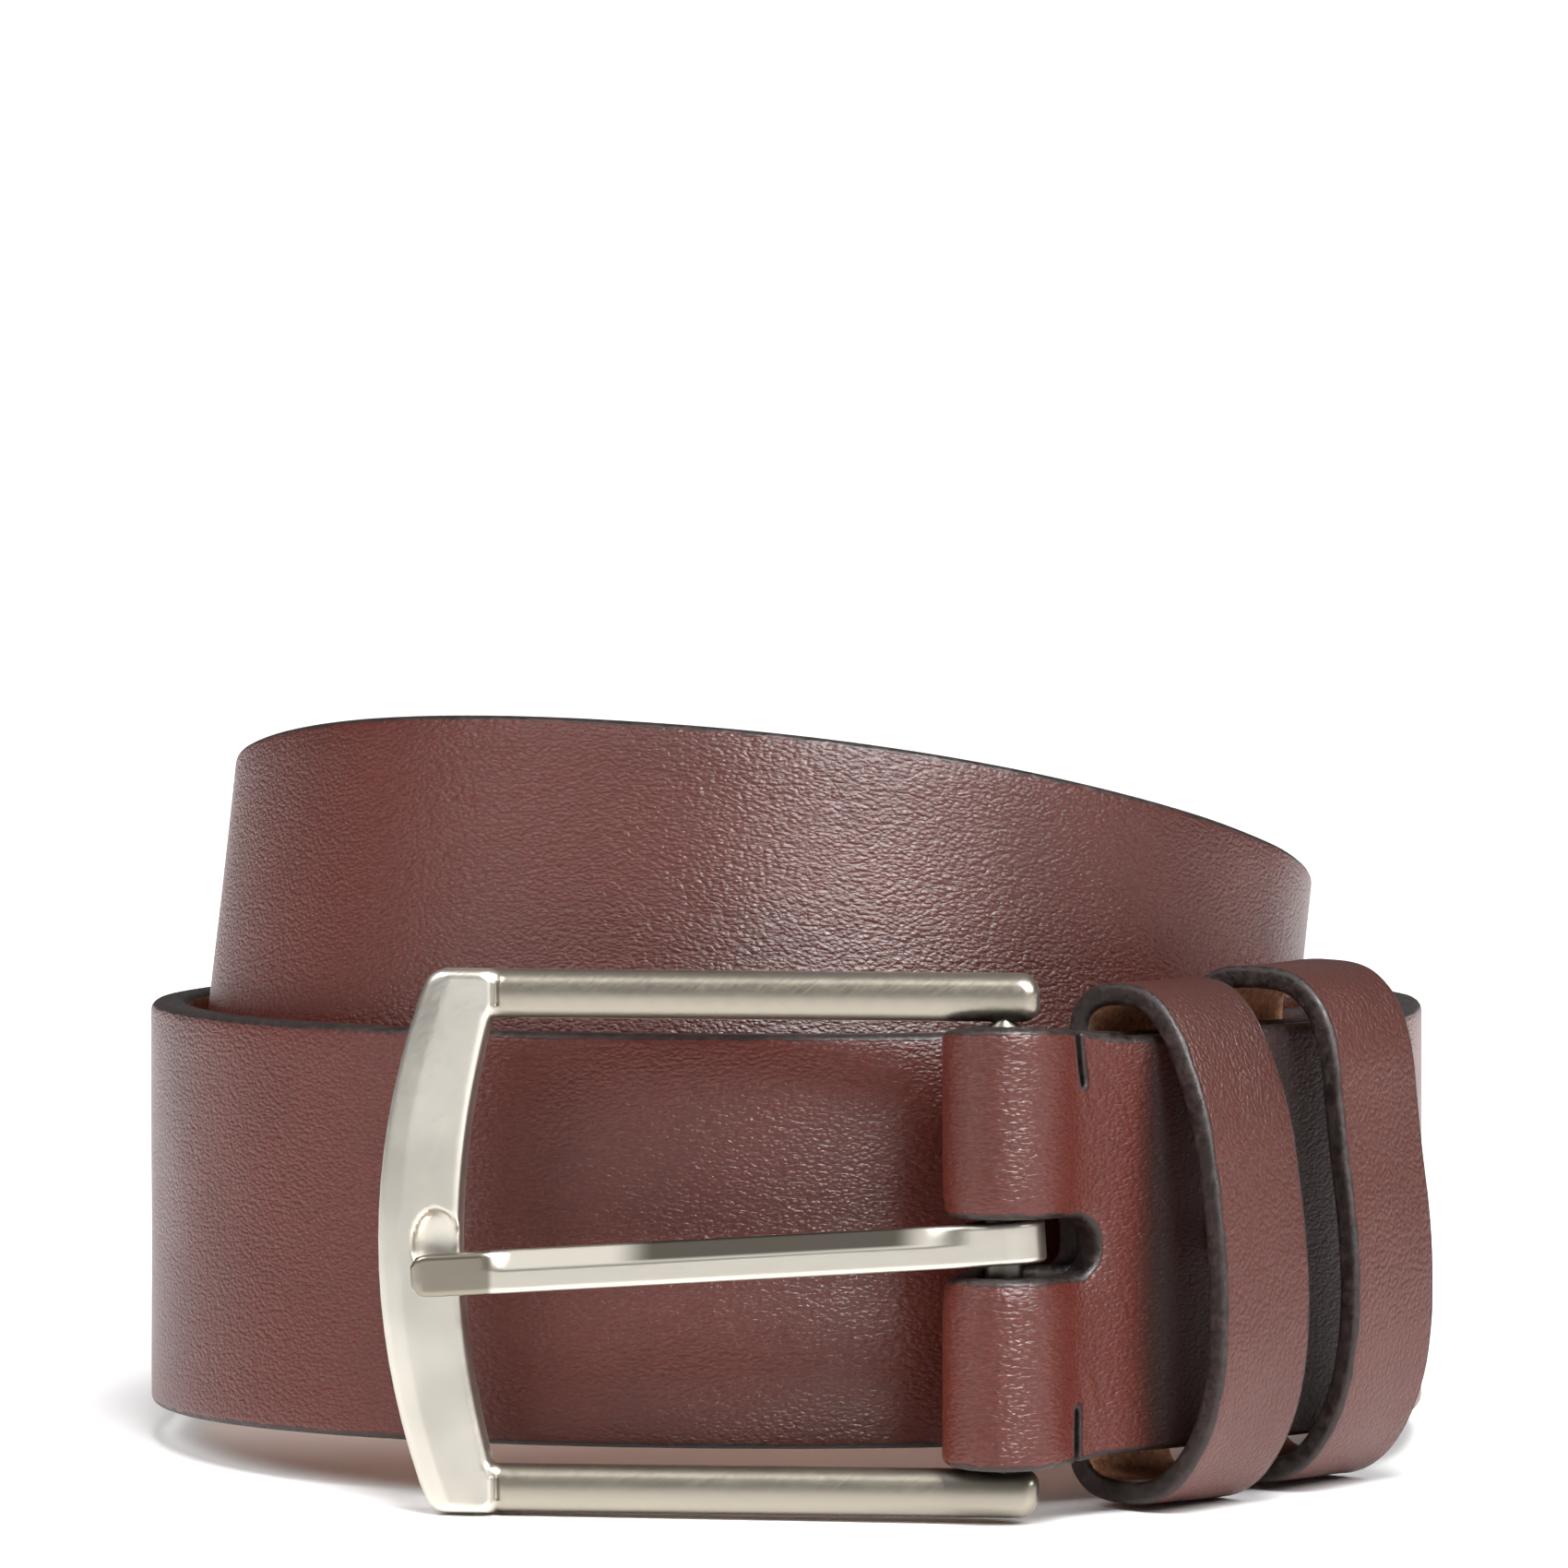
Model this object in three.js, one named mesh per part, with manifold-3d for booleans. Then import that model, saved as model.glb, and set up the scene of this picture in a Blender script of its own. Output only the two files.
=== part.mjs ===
// A leather belt rolled up on its edge: strap, heel-bar buckle with a prong, two keepers
// and the fastenings of the turned-back end. Millimetres, +Z up, buckle face towards -Y.
import * as THREE from "three";
import Module from "manifold-3d";
import { mergeVertices } from "three/addons/utils/BufferGeometryUtils.js";

const wasm = await Module();
wasm.setup();

// Strap
const STRAP_WIDTH = 35;
const STRAP_THICKNESS = 3.3;
const MID_WIDTH = STRAP_WIDTH / 2;
const LAYER_PITCH = 3.65; // outer layer to turned-back layer, centre to centre
const TIP_TAPER = 26; // length of the pointed end
const TIP_WIDTH = 7;
const HOLE_RADIUS = 2;
const HOLE_COUNT = 5;
const HOLE_PITCH = 25;
const FIRST_HOLE = 95; // tip to the first hole
const FOLD_LENGTH = 70; // the sweep is finer here, round the bar
const FOLD_SPACING = 1.15;
const COIL_SPACING = 4;

// The level coil leans back a little about its rear bottom edge
const LEAN = THREE.MathUtils.degToRad(2.85);
const COIL_BACK = 52;

// The raised inner roll is a tilted cylinder of its own
const ROLL_TOP_CENTRE = [-0.6, 6.9, 53.0];
const ROLL_TILT_BACK = THREE.MathUtils.degToRad(14.5);
const ROLL_TILT_SIDE = THREE.MathUtils.degToRad(6.5);
const RISE_FROM = 450; // coil angle where the strap starts to climb to the roll
const RISE_TO = 610;

// Strap centre line in plan. Angles in degrees from the front, growing to the right.
const FOLD_TO_SIDE = [
  [23.0, -58.3], [29.6, -52.3], [36.9, -43.5], [40.3, -38.9], [47.4, -28.9], [51.6, -18.0],
];
const COIL_STATIONS = [
  [94, 53.3], [120, 52.6], [150, 51.2], [180, 50.35], [210, 51.1], [240, 52.9], [270, 53.85],
  [300, 53.3], [330, 51.5], [345, 50.7], [360, 50.35], [372, 50.6], [385, 49.5], [396, 46.7],
  [403, 45.4], [418, 44.6], [435, 46.2], [450, 47.9], [480, 48.3], [510, 47.2], [540, 46.3],
  [610, 46.9],
];
const ROLL_STATIONS = [
  [450, 45.4], [540, 44.6], [600, 45.4], [630, 46.2], [650, 45.4], [680, 44.6], [700, 44.0],
  [720, 44.2], [738, 43.9], [758, 43.0], [780, 43.2], [800, 44.5], [815, 44.9], [850, 43.2],
  [900, 40.7], [990, 42.4], [1060, 40.5], [1080, 40.3], [1098, 40.0], [1118, 39.2], [1140, 39.3],
  [1160, 40.8], [1175, 41.0], [1200, 40.0], [1224, 38.4],
];
const TAB_BEHIND_KEEPERS = [
  [50.4, -22.4], [47.4, -28.9], [40.3, -38.9], [36.9, -43.5], [29.6, -52.3],
];
const TAB_HEADINGS = [65, 58, 54, 52, 48]; // degrees, direction of the outer layer there

// Buckle, in its own frame: x right, y up, z outwards, bar axis at the origin
const BAR_CENTRE = [18, -60, 17.8];
const BUCKLE_YAW = THREE.MathUtils.degToRad(8);
const BAR_RADIUS = 1.6;
const BUCKLE_HALF_HEIGHT = 22.9;
const BUCKLE_HALF_OPENING = 18.8;
const BUCKLE_RIGHT = 2.9;
const BUCKLE_END_CORNER = -48.6;
const BUCKLE_END_MIDDLE = -53;
const BUCKLE_INSIDE_CORNER = -43.4;
const BUCKLE_INSIDE_MIDDLE = -46;
const BUCKLE_THICKNESS = 3.6;
const BUCKLE_BEVEL = 0.7;
const PIN_DEPTH = 2.1; // how far each end of the bar goes into its rail
const CLEARANCE = 0.3;

// Prong
const PRONG_WIDTH = 3.6;
const PRONG_DROOP = THREE.MathUtils.degToRad(3.6);
const PRONG_RING_OUTER = 3.5;
const PRONG_LENGTH = 49.8;
const SLOT_HALF_HEIGHT = 2.9;

// Keepers: outline of the leather loop, n outwards from the strap, v up from its middle
const KEEPER_WIDTH = 12;
const KEEPER_THICKNESS = 1.95;
const KEEPER_BACK = -6.85;
const KEEPER_LOOP = [
  [KEEPER_BACK, 6], [KEEPER_BACK, 12], [KEEPER_BACK, 17.6], [-6.4, 19.4], [-5.0, 20.6],
  [-2.6, 21.0], [0.2, 20.5], [2.6, 18.4], [4.5, 14.8], [6.1, 10.4], [7.1, 5.6], [7.8, 0.3],
  [8.1, -4.9], [7.9, -9.3], [7.1, -13.4], [5.5, -17.0], [3.3, -19.6], [1.0, -20.8],
  [-2.4, -21.0], [-5.0, -20.5], [-6.4, -19.3], [KEEPER_BACK, -17.6], [KEEPER_BACK, -12],
  [KEEPER_BACK, -6],
];
const KEEPER_JOINT_GAP = 0.35;
const FIXED_KEEPER = { point: [33.25, -48.1], heading: 51.6, rise: -0.12 };
const SLIDING_KEEPER = { point: [43.75, -34.15], heading: 54.4, rise: 0.6 };
const STAPLE_WIRE = 0.35;
const STAPLE_SPAN = 3;
const STAPLE_LEG = 1.3;

// Fastenings of the turned-back end
const RIVET_SHANK = 1;
const RIVET_HEAD = 2;
const RIVET_HEAD_THICKNESS = 0.8;
const RIVET_HEAD_LIFT = 0.5;
const RIVET_CAP = 1.8;
const RIVET_OFFSET = 3.6; // along the strap, from the middle of the fixed keeper
const CAP_SEAT = KEEPER_BACK - KEEPER_THICKNESS / 2 + RIVET_HEAD_THICKNESS + CLEARANCE;
const THREAD_RADIUS = 0.4;
const STITCH_COUNT = 5;
const STITCH_PITCH = 5.2;
const STITCH_ROW = { point: [49.25, -25.2], heading: 64 };

// Moves the finished part so that its footprint is centred on the origin
const ORIGIN_SHIFT = [0.251, 5.581, 0];

const leanMatrix = new THREE.Matrix4()
  .makeTranslation(0, COIL_BACK, 0)
  .multiply(new THREE.Matrix4().makeRotationX(-LEAN))
  .multiply(new THREE.Matrix4().makeTranslation(0, -COIL_BACK, 0));
const leanUp = new THREE.Vector3(0, Math.sin(LEAN), Math.cos(LEAN));
const radians = THREE.MathUtils.degToRad;

// Turns a closed geometry into a manifold-3d solid.
function solidOf(geometry) {
  const bare = geometry.clone();
  bare.deleteAttribute("normal");
  bare.deleteAttribute("uv");
  const merged = mergeVertices(bare, 1e-4);
  return new wasm.Manifold(
    new wasm.Mesh({
      numProp: 3,
      vertProperties: new Float32Array(merged.attributes.position.array),
      triVerts: new Uint32Array(merged.index.array),
    }),
  );
}

// Turns a manifold-3d solid back into a three.js geometry.
function geometryOf(solid) {
  const mesh = solid.getMesh();
  const geometry = new THREE.BufferGeometry();
  geometry.setAttribute("position", new THREE.BufferAttribute(mesh.vertProperties, 3));
  geometry.setIndex(new THREE.BufferAttribute(mesh.triVerts, 1));
  geometry.computeVertexNormals();
  return geometry;
}

function boxAt(size, centre) {
  return new THREE.BoxGeometry(...size).translate(...centre);
}

// Radius at a coil angle, from a table of [angle, radius] with straight steps between.
function radiusAt(table, angle) {
  const last = table.findIndex(([a]) => a >= angle);
  if (last <= 0) return last === 0 ? table[0][1] : table[table.length - 1][1];
  const [a0, r0] = table[last - 1];
  const [a1, r1] = table[last];
  return THREE.MathUtils.lerp(r0, r1, (angle - a0) / (a1 - a0));
}

// Point of the level coil at mid width, from its plan position.
function levelPoint(x, y) {
  return new THREE.Vector3(x, y, MID_WIDTH).applyMatrix4(leanMatrix);
}

const rollUp = new THREE.Vector3(
  Math.sin(ROLL_TILT_SIDE) * Math.cos(ROLL_TILT_BACK),
  Math.sin(ROLL_TILT_BACK),
  Math.cos(ROLL_TILT_SIDE) * Math.cos(ROLL_TILT_BACK),
).normalize();
const rollRight = new THREE.Vector3(1, 0, 0).addScaledVector(rollUp, -rollUp.x).normalize();
const rollBack = new THREE.Vector3().crossVectors(rollUp, rollRight);

// Point of the tilted roll at mid width.
function rollPoint(angle, radius) {
  return new THREE.Vector3(...ROLL_TOP_CENTRE)
    .addScaledVector(rollUp, -MID_WIDTH)
    .addScaledVector(rollRight, radius * Math.sin(radians(angle)))
    .addScaledVector(rollBack, -radius * Math.cos(radians(angle)));
}

// One station of the coil: the level coil blended into the tilted roll.
function coilStation(angle) {
  const level = radiusAt(COIL_STATIONS, angle);
  const low = levelPoint(level * Math.sin(radians(angle)), -level * Math.cos(radians(angle)));
  const high = rollPoint(angle, radiusAt(ROLL_STATIONS, angle));
  const share = THREE.MathUtils.smoothstep(angle, RISE_FROM, RISE_TO);
  return { point: low.lerp(high, share), up: leanUp.clone().lerp(rollUp, share).normalize() };
}

function levelStation([x, y]) {
  return { point: levelPoint(x, y), up: leanUp.clone() };
}

// Stations of the strap: turned-back end, round the bar, keepers, level coil, raised roll.
function strapStations() {
  const tab = TAB_BEHIND_KEEPERS.map(([x, y], i) => {
    const heading = radians(TAB_HEADINGS[i]);
    return [x - LAYER_PITCH * Math.sin(heading), y + LAYER_PITCH * Math.cos(heading)];
  });
  const wrap = BAR_RADIUS + CLEARANCE + STRAP_THICKNESS / 2;
  const aroundBar = [165, 200, 235, 270, 305, 335, 365, 395, 420].map((degrees) => [
    BAR_CENTRE[0] + wrap * Math.sin(radians(degrees)),
    BAR_CENTRE[1] - wrap * Math.cos(radians(degrees)),
  ]);
  const start = [...tab, [21.3, -54.2], ...aroundBar, ...FOLD_TO_SIDE].map(levelStation);
  const coil = [];
  for (let angle = 94; angle <= 1224; angle += 10) coil.push(coilStation(angle));
  return [...start, ...coil];
}

// Distances along a curve: close together over its first part, further apart after it.
function stopsAlong(length, fineLength, fine, coarse) {
  const stops = [];
  for (let s = 0; s < length - fine; s += s < fineLength ? fine : coarse) stops.push(s);
  return [...stops, length];
}

// Smooth frames along the stations: centre, width direction and outward normal.
function framesAlong(stations, fineLength, fine, coarse) {
  const curve = new THREE.CatmullRomCurve3(stations.map((s) => s.point), false, "centripetal");
  curve.arcLengthDivisions = stations.length * 12;
  const length = curve.getLength();
  const frames = [];
  stopsAlong(length, fineLength, fine, coarse).forEach((distance) => {
    const t = curve.getUtoTmapping(distance / length);
    const place = t * (stations.length - 1);
    const first = Math.min(Math.floor(place), stations.length - 2);
    const up = stations[first].up.clone().lerp(stations[first + 1].up, place - first);
    const along = curve.getTangent(t);
    const normal = new THREE.Vector3().crossVectors(along, up).normalize();
    frames.push({
      centre: curve.getPoint(t),
      up: new THREE.Vector3().crossVectors(normal, along).normalize(),
      normal,
      along,
      toEnd: length - distance,
    });
  });
  return frames;
}

// A flat strip of leather swept along frames: a box bent so that its length follows them.
function sweptStrip(frames, widthOf, thickness) {
  const strip = new THREE.BoxGeometry(frames.length - 1, 1, 1, frames.length - 1, 1, 1);
  const position = strip.attributes.position;
  for (let i = 0; i < position.count; i++) {
    const index = Math.round(position.getX(i) + (frames.length - 1) / 2);
    const { centre, up, normal } = frames[index];
    const p = centre
      .clone()
      .addScaledVector(up, position.getZ(i) * widthOf(frames[index]))
      .addScaledVector(normal, -position.getY(i) * thickness);
    position.setXYZ(i, p.x, p.y, p.z);
  }
  return strip;
}

// A frame on the outer layer of the level coil: x along the strap, y up, z outwards.
function strapFrame([x, y], headingDegrees, rise = 0) {
  const heading = radians(headingDegrees);
  const along = new THREE.Vector3(Math.cos(heading), Math.sin(heading), 0);
  const outwards = new THREE.Vector3(Math.sin(heading), -Math.cos(heading), 0);
  return leanMatrix
    .clone()
    .multiply(new THREE.Matrix4().makeTranslation(x, y, MID_WIDTH + rise))
    .multiply(new THREE.Matrix4().makeBasis(along, new THREE.Vector3(0, 0, 1), outwards));
}

function buckleFrame() {
  const right = new THREE.Vector3(Math.cos(BUCKLE_YAW), -Math.sin(BUCKLE_YAW), 0);
  const outwards = new THREE.Vector3(-Math.sin(BUCKLE_YAW), -Math.cos(BUCKLE_YAW), 0);
  return leanMatrix
    .clone()
    .multiply(new THREE.Matrix4().makeTranslation(...BAR_CENTRE))
    .multiply(new THREE.Matrix4().makeBasis(right, new THREE.Vector3(0, 0, 1), outwards));
}

// Cylinder with its axis along z, cut away for a fastening or added as one.
function zCylinder(radius, from, to, segments = 20) {
  return new THREE.CylinderGeometry(radius, radius, to - from, segments)
    .rotateX(Math.PI / 2)
    .translate(0, 0, (from + to) / 2);
}

// A round wire bent through straight runs, as one solid.
function bentWire(points, radius, segments) {
  let wire = null;
  points.slice(1).forEach((end, i) => {
    const start = points[i];
    const run = new THREE.CylinderGeometry(radius, radius, start.distanceTo(end), segments);
    const turn = new THREE.Quaternion().setFromUnitVectors(
      new THREE.Vector3(0, 1, 0),
      end.clone().sub(start).normalize(),
    );
    run.applyQuaternion(turn);
    run.translate(...start.clone().add(end).multiplyScalar(0.5).toArray());
    const joint = new THREE.IcosahedronGeometry(radius * 1.1, 0).translate(...end.toArray());
    const pieces = i < points.length - 2 ? [run, joint] : [run];
    pieces.forEach((piece) => {
      wire = wire ? wire.add(solidOf(piece)) : solidOf(piece);
    });
  });
  return wire;
}

const outerFace = STRAP_THICKNESS / 2;
const innerFace = -(LAYER_PITCH + STRAP_THICKNESS / 2);

// Zigzag of a running stitch through both layers, in the frame of its row.
function stitchPath() {
  const front = outerFace + CLEARANCE + THREAD_RADIUS;
  const back = innerFace - CLEARANCE - THREAD_RADIUS;
  const points = [];
  for (let i = 0; i < STITCH_COUNT; i++) {
    const y = (i - (STITCH_COUNT - 1) / 2) * STITCH_PITCH;
    const ends = i % 2 ? [front, back] : [back, front];
    ends.forEach((z) => points.push(new THREE.Vector3(0, y, z)));
  }
  return points;
}

function makeStrap() {
  const frames = framesAlong(strapStations(), FOLD_LENGTH, FOLD_SPACING, COIL_SPACING);
  const widthOf = ({ toEnd }) => {
    const left = Math.min(1, toEnd / TIP_TAPER);
    return TIP_WIDTH + (STRAP_WIDTH - TIP_WIDTH) * Math.sqrt(1 - (1 - left) ** 2);
  };
  let strap = solidOf(sweptStrip(frames, widthOf, STRAP_THICKNESS));

  const slot = new THREE.BoxGeometry(16, 14, SLOT_HALF_HEIGHT * 2).translate(15.4, -59, 17.5);
  const slotEnd = zCylinder(SLOT_HALF_HEIGHT, -7, 5);
  strap = strap.subtract(solidOf(slot.applyMatrix4(leanMatrix)));
  const slotFrame = strapFrame([23.2, -57.8], 52);
  strap = strap.subtract(solidOf(slotEnd.applyMatrix4(slotFrame)));

  [-1, 1].forEach((side) => {
    const notch = boxAt([0.9, 9, 3.6], [0, side * MID_WIDTH, 0.4]);
    strap = strap.subtract(solidOf(notch.applyMatrix4(strapFrame([23.5, -57.7], 52))));
  });

  const rivetHole = zCylinder(RIVET_SHANK + CLEARANCE, -9, 3);
  strap = strap.subtract(solidOf(rivetHole.applyMatrix4(rivetFrame())));
  const rowFrame = strapFrame(STITCH_ROW.point, STITCH_ROW.heading);
  for (let i = 0; i < STITCH_COUNT; i++) {
    const y = (i - (STITCH_COUNT - 1) / 2) * STITCH_PITCH;
    const hole = zCylinder(THREAD_RADIUS + CLEARANCE, -7, 3, 10).translate(0, y, 0);
    strap = strap.subtract(solidOf(hole.applyMatrix4(rowFrame)));
  }

  for (let i = 0; i < HOLE_COUNT; i++) {
    const toTip = FIRST_HOLE + i * HOLE_PITCH;
    const { centre, up, normal, along } = frames.find(({ toEnd }) => toEnd <= toTip);
    const place = new THREE.Matrix4().makeBasis(along, up, normal.clone().negate());
    place.setPosition(centre);
    const hole = zCylinder(HOLE_RADIUS, -2.3, 2.3).applyMatrix4(place);
    strap = strap.subtract(solidOf(hole));
  }
  return geometryOf(strap);
}

function keeperFrame({ point, heading, rise }) {
  return strapFrame(point, heading, rise);
}

function rivetFrame() {
  const offset = new THREE.Matrix4().makeTranslation(RIVET_OFFSET, 0, 0);
  return keeperFrame(FIXED_KEEPER).multiply(offset);
}

// A keeper loop: a strip round the doubled strap, its two ends butting at the back.
function makeKeeper(keeper, jointHeight, rivetHole) {
  const place = keeperFrame(keeper);
  const ends = [jointHeight + KEEPER_JOINT_GAP / 2, jointHeight - KEEPER_JOINT_GAP / 2];
  const away = KEEPER_LOOP.filter(([n, v]) => n > KEEPER_BACK || Math.abs(v - jointHeight) > 4);
  const first = away.findIndex(([n, v]) => n < -6 && v > jointHeight);
  const loop = [
    [KEEPER_BACK, ends[0]], ...away.slice(first), ...away.slice(0, first), [KEEPER_BACK, ends[1]],
  ];
  const along = new THREE.Vector3(1, 0, 0);
  const stations = loop.map(([n, v]) => ({ point: new THREE.Vector3(0, v, n), up: along.clone() }));
  const frames = framesAlong(stations, 0, 2.2, 2.2);
  let strip = solidOf(sweptStrip(frames, () => KEEPER_WIDTH, KEEPER_THICKNESS));
  if (rivetHole) {
    const shank = zCylinder(RIVET_SHANK + CLEARANCE, -9, -4).translate(RIVET_OFFSET, 0, 0);
    const seat = zCylinder(RIVET_CAP + CLEARANCE, -9, CAP_SEAT).translate(RIVET_OFFSET, 0, 0);
    strip = strip.subtract(solidOf(shank)).subtract(solidOf(seat));
  }
  const staple = bentWire(staplePath(jointHeight, CLEARANCE), STAPLE_WIRE + CLEARANCE, 8);
  return geometryOf(strip.subtract(staple)).applyMatrix4(place);
}

// A wire staple across the butt joint, its crown sunk flush in the back of the loop.
function staplePath(jointHeight, deeper = 0) {
  const crown = KEEPER_BACK - KEEPER_THICKNESS / 2 + STAPLE_WIRE;
  const tip = crown + STAPLE_LEG + deeper;
  const top = jointHeight + STAPLE_SPAN / 2;
  const bottom = jointHeight - STAPLE_SPAN / 2;
  const points = [[top, tip], [top, crown], [bottom, crown], [bottom, tip]];
  return points.map(([y, z]) => new THREE.Vector3(0, y, z));
}

function makeStaple(keeper, jointHeight) {
  const wire = bentWire(staplePath(jointHeight), STAPLE_WIRE, 6);
  return geometryOf(wire).applyMatrix4(keeperFrame(keeper));
}

// Outline of the buckle: bowed end bar on the left, open towards the bar on the right.
function makeBuckleFrame() {
  const outline = new THREE.Shape();
  const edge = BUCKLE_BEVEL;
  const high = BUCKLE_HALF_HEIGHT - edge;
  const low = BUCKLE_HALF_OPENING + edge;
  outline.moveTo(BUCKLE_RIGHT - edge - 0.8, low);
  outline.lineTo(BUCKLE_RIGHT - edge, low + 0.9);
  outline.lineTo(BUCKLE_RIGHT - edge, high - 0.9);
  outline.lineTo(BUCKLE_RIGHT - edge - 0.9, high);
  outline.lineTo(BUCKLE_END_CORNER + 2, high);
  outline.quadraticCurveTo(BUCKLE_END_CORNER + edge, high, BUCKLE_END_CORNER + edge - 0.2, high - 1.6);
  const bow = 2 * BUCKLE_END_MIDDLE - BUCKLE_END_CORNER;
  outline.quadraticCurveTo(bow + edge, 0, BUCKLE_END_CORNER + edge - 0.2, 1.6 - high);
  outline.quadraticCurveTo(BUCKLE_END_CORNER + edge, -high, BUCKLE_END_CORNER + 2, -high);
  outline.lineTo(BUCKLE_RIGHT - edge - 0.9, -high);
  outline.lineTo(BUCKLE_RIGHT - edge, 0.9 - high);
  outline.lineTo(BUCKLE_RIGHT - edge, -low - 0.9);
  outline.lineTo(BUCKLE_RIGHT - edge - 0.8, -low);
  outline.lineTo(BUCKLE_INSIDE_CORNER - edge, -low);
  const inside = 2 * BUCKLE_INSIDE_MIDDLE - BUCKLE_INSIDE_CORNER;
  outline.quadraticCurveTo(inside - edge, 0, BUCKLE_INSIDE_CORNER - edge, low);
  outline.closePath();
  const frame = new THREE.ExtrudeGeometry(outline, {
    depth: BUCKLE_THICKNESS - 2 * edge,
    bevelThickness: edge,
    bevelSize: edge,
    bevelSegments: 2,
    curveSegments: 14,
  }).translate(0, 0, edge - BUCKLE_THICKNESS / 2);
  let solid = solidOf(frame);
  [-1, 1].forEach((side) => {
    const bore = new THREE.CylinderGeometry(
      BAR_RADIUS + CLEARANCE / 2, BAR_RADIUS + CLEARANCE / 2, PIN_DEPTH + 1.3, 20,
    ).translate(0, side * (BUCKLE_HALF_OPENING + (PIN_DEPTH + 0.3) / 2 - 0.5), 0);
    solid = solid.subtract(solidOf(bore));
  });
  const recess = new THREE.CylinderGeometry(2.1, 2.1, 7, 24)
    .rotateZ(Math.PI / 2)
    .translate(-48.2, 0.4, BUCKLE_THICKNESS / 2 + 0.9);
  return geometryOf(solid.subtract(solidOf(recess))).applyMatrix4(buckleFrame());
}

function makeBar() {
  const length = 2 * (BUCKLE_HALF_OPENING + PIN_DEPTH - CLEARANCE);
  const bar = new THREE.CylinderGeometry(BAR_RADIUS, BAR_RADIUS, length, 28);
  return bar.applyMatrix4(buckleFrame());
}

// The prong: a ring round the bar and a flat shank drooping to the recess of the end bar.
function makeProng() {
  const ring = new THREE.CylinderGeometry(PRONG_RING_OUTER, PRONG_RING_OUTER, PRONG_WIDTH, 32);
  const bore = new THREE.CylinderGeometry(
    BAR_RADIUS + CLEARANCE, BAR_RADIUS + CLEARANCE, PRONG_WIDTH + 2, 28,
  );
  const side = new THREE.Shape();
  side.moveTo(0, 1.0);
  side.lineTo(-2.4, 2.2);
  side.lineTo(-44, 2.25);
  side.lineTo(-PRONG_LENGTH + 1.2, 2.35);
  side.quadraticCurveTo(-PRONG_LENGTH, 2.4, -PRONG_LENGTH, 3.3);
  side.quadraticCurveTo(-PRONG_LENGTH, 4.6, -PRONG_LENGTH + 1.4, 4.7);
  side.lineTo(-44, 4.7);
  side.lineTo(-8, 3.9);
  side.quadraticCurveTo(-3, 3.7, 0, PRONG_RING_OUTER);
  side.closePath();
  const shank = new THREE.ExtrudeGeometry(side, {
    depth: PRONG_WIDTH - 0.8,
    bevelThickness: 0.4,
    bevelSize: 0.3,
    bevelOffset: -0.3,
    bevelSegments: 2,
    curveSegments: 6,
  });
  shank.translate(0, 0, 0.4 - PRONG_WIDTH / 2).rotateX(Math.PI / 2).rotateZ(PRONG_DROOP);
  const solid = solidOf(ring).add(solidOf(shank)).subtract(solidOf(bore));
  return geometryOf(solid.translate([0, 0.3, 0])).applyMatrix4(buckleFrame());
}

// Rivet through both layers and the back of the fixed keeper: a post, and the cap on it.
function makeRivetPost() {
  const seat = outerFace + RIVET_HEAD_LIFT;
  const head = zCylinder(RIVET_HEAD, seat, seat + RIVET_HEAD_THICKNESS, 28);
  const shank = zCylinder(RIVET_SHANK, CAP_SEAT - RIVET_HEAD_THICKNESS, seat + 0.2, 20);
  const solid = solidOf(head).add(solidOf(shank));
  return geometryOf(solid).applyMatrix4(rivetFrame());
}

function makeRivetCap() {
  const seat = CAP_SEAT - CLEARANCE;
  const cap = zCylinder(RIVET_CAP, seat - RIVET_HEAD_THICKNESS, seat, 28);
  const bore = zCylinder(RIVET_SHANK + CLEARANCE / 2, seat - 2, seat + 1, 20);
  const solid = solidOf(cap).subtract(solidOf(bore));
  return geometryOf(solid).applyMatrix4(rivetFrame());
}

function makeStitches() {
  const wire = bentWire(stitchPath(), THREAD_RADIUS, 6);
  return geometryOf(wire).applyMatrix4(strapFrame(STITCH_ROW.point, STITCH_ROW.heading));
}

const leather = { color: 0x6b3f3a, roughness: 0.55, metalness: 0 };
const keeperLeather = { color: 0x7d5049, roughness: 0.6, metalness: 0 };
const nickel = { color: 0xc8c3b8, roughness: 0.3, metalness: 1 };
const thread = { color: 0x4a2d2a, roughness: 0.8, metalness: 0 };
const FIXED_JOINT = 9;
const SLIDING_JOINT = 0;

const pieces = [
  ["main_strap", makeStrap(), leather],
  ["fixed_keeper", makeKeeper(FIXED_KEEPER, FIXED_JOINT, true), keeperLeather],
  ["sliding_keeper", makeKeeper(SLIDING_KEEPER, SLIDING_JOINT, false), keeperLeather],
  ["fixed_keeper_staple", makeStaple(FIXED_KEEPER, FIXED_JOINT), nickel],
  ["sliding_keeper_staple", makeStaple(SLIDING_KEEPER, SLIDING_JOINT), nickel],
  ["buckle_frame", makeBuckleFrame(), nickel],
  ["buckle_bar", makeBar(), nickel],
  ["prong", makeProng(), nickel],
  ["turnback_rivet_post", makeRivetPost(), nickel],
  ["turnback_rivet_cap", makeRivetCap(), nickel],
  ["turnback_stitches", makeStitches(), thread],
];

const belt = new THREE.Group();
belt.name = "leather_belt";
belt.position.set(...ORIGIN_SHIFT);
pieces.forEach(([name, geometry, look]) => {
  const mesh = new THREE.Mesh(geometry, new THREE.MeshStandardMaterial(look));
  mesh.name = name;
  belt.add(mesh);
});

export default belt;
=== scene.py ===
"""A rolled leather belt: the looks of its strap, keepers, buckle and prong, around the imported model."""
import math

import bpy
import numpy as np
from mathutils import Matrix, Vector, noise
from mathutils.geometry import delaunay_2d_cdt
from mathutils.kdtree import KDTree


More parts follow.
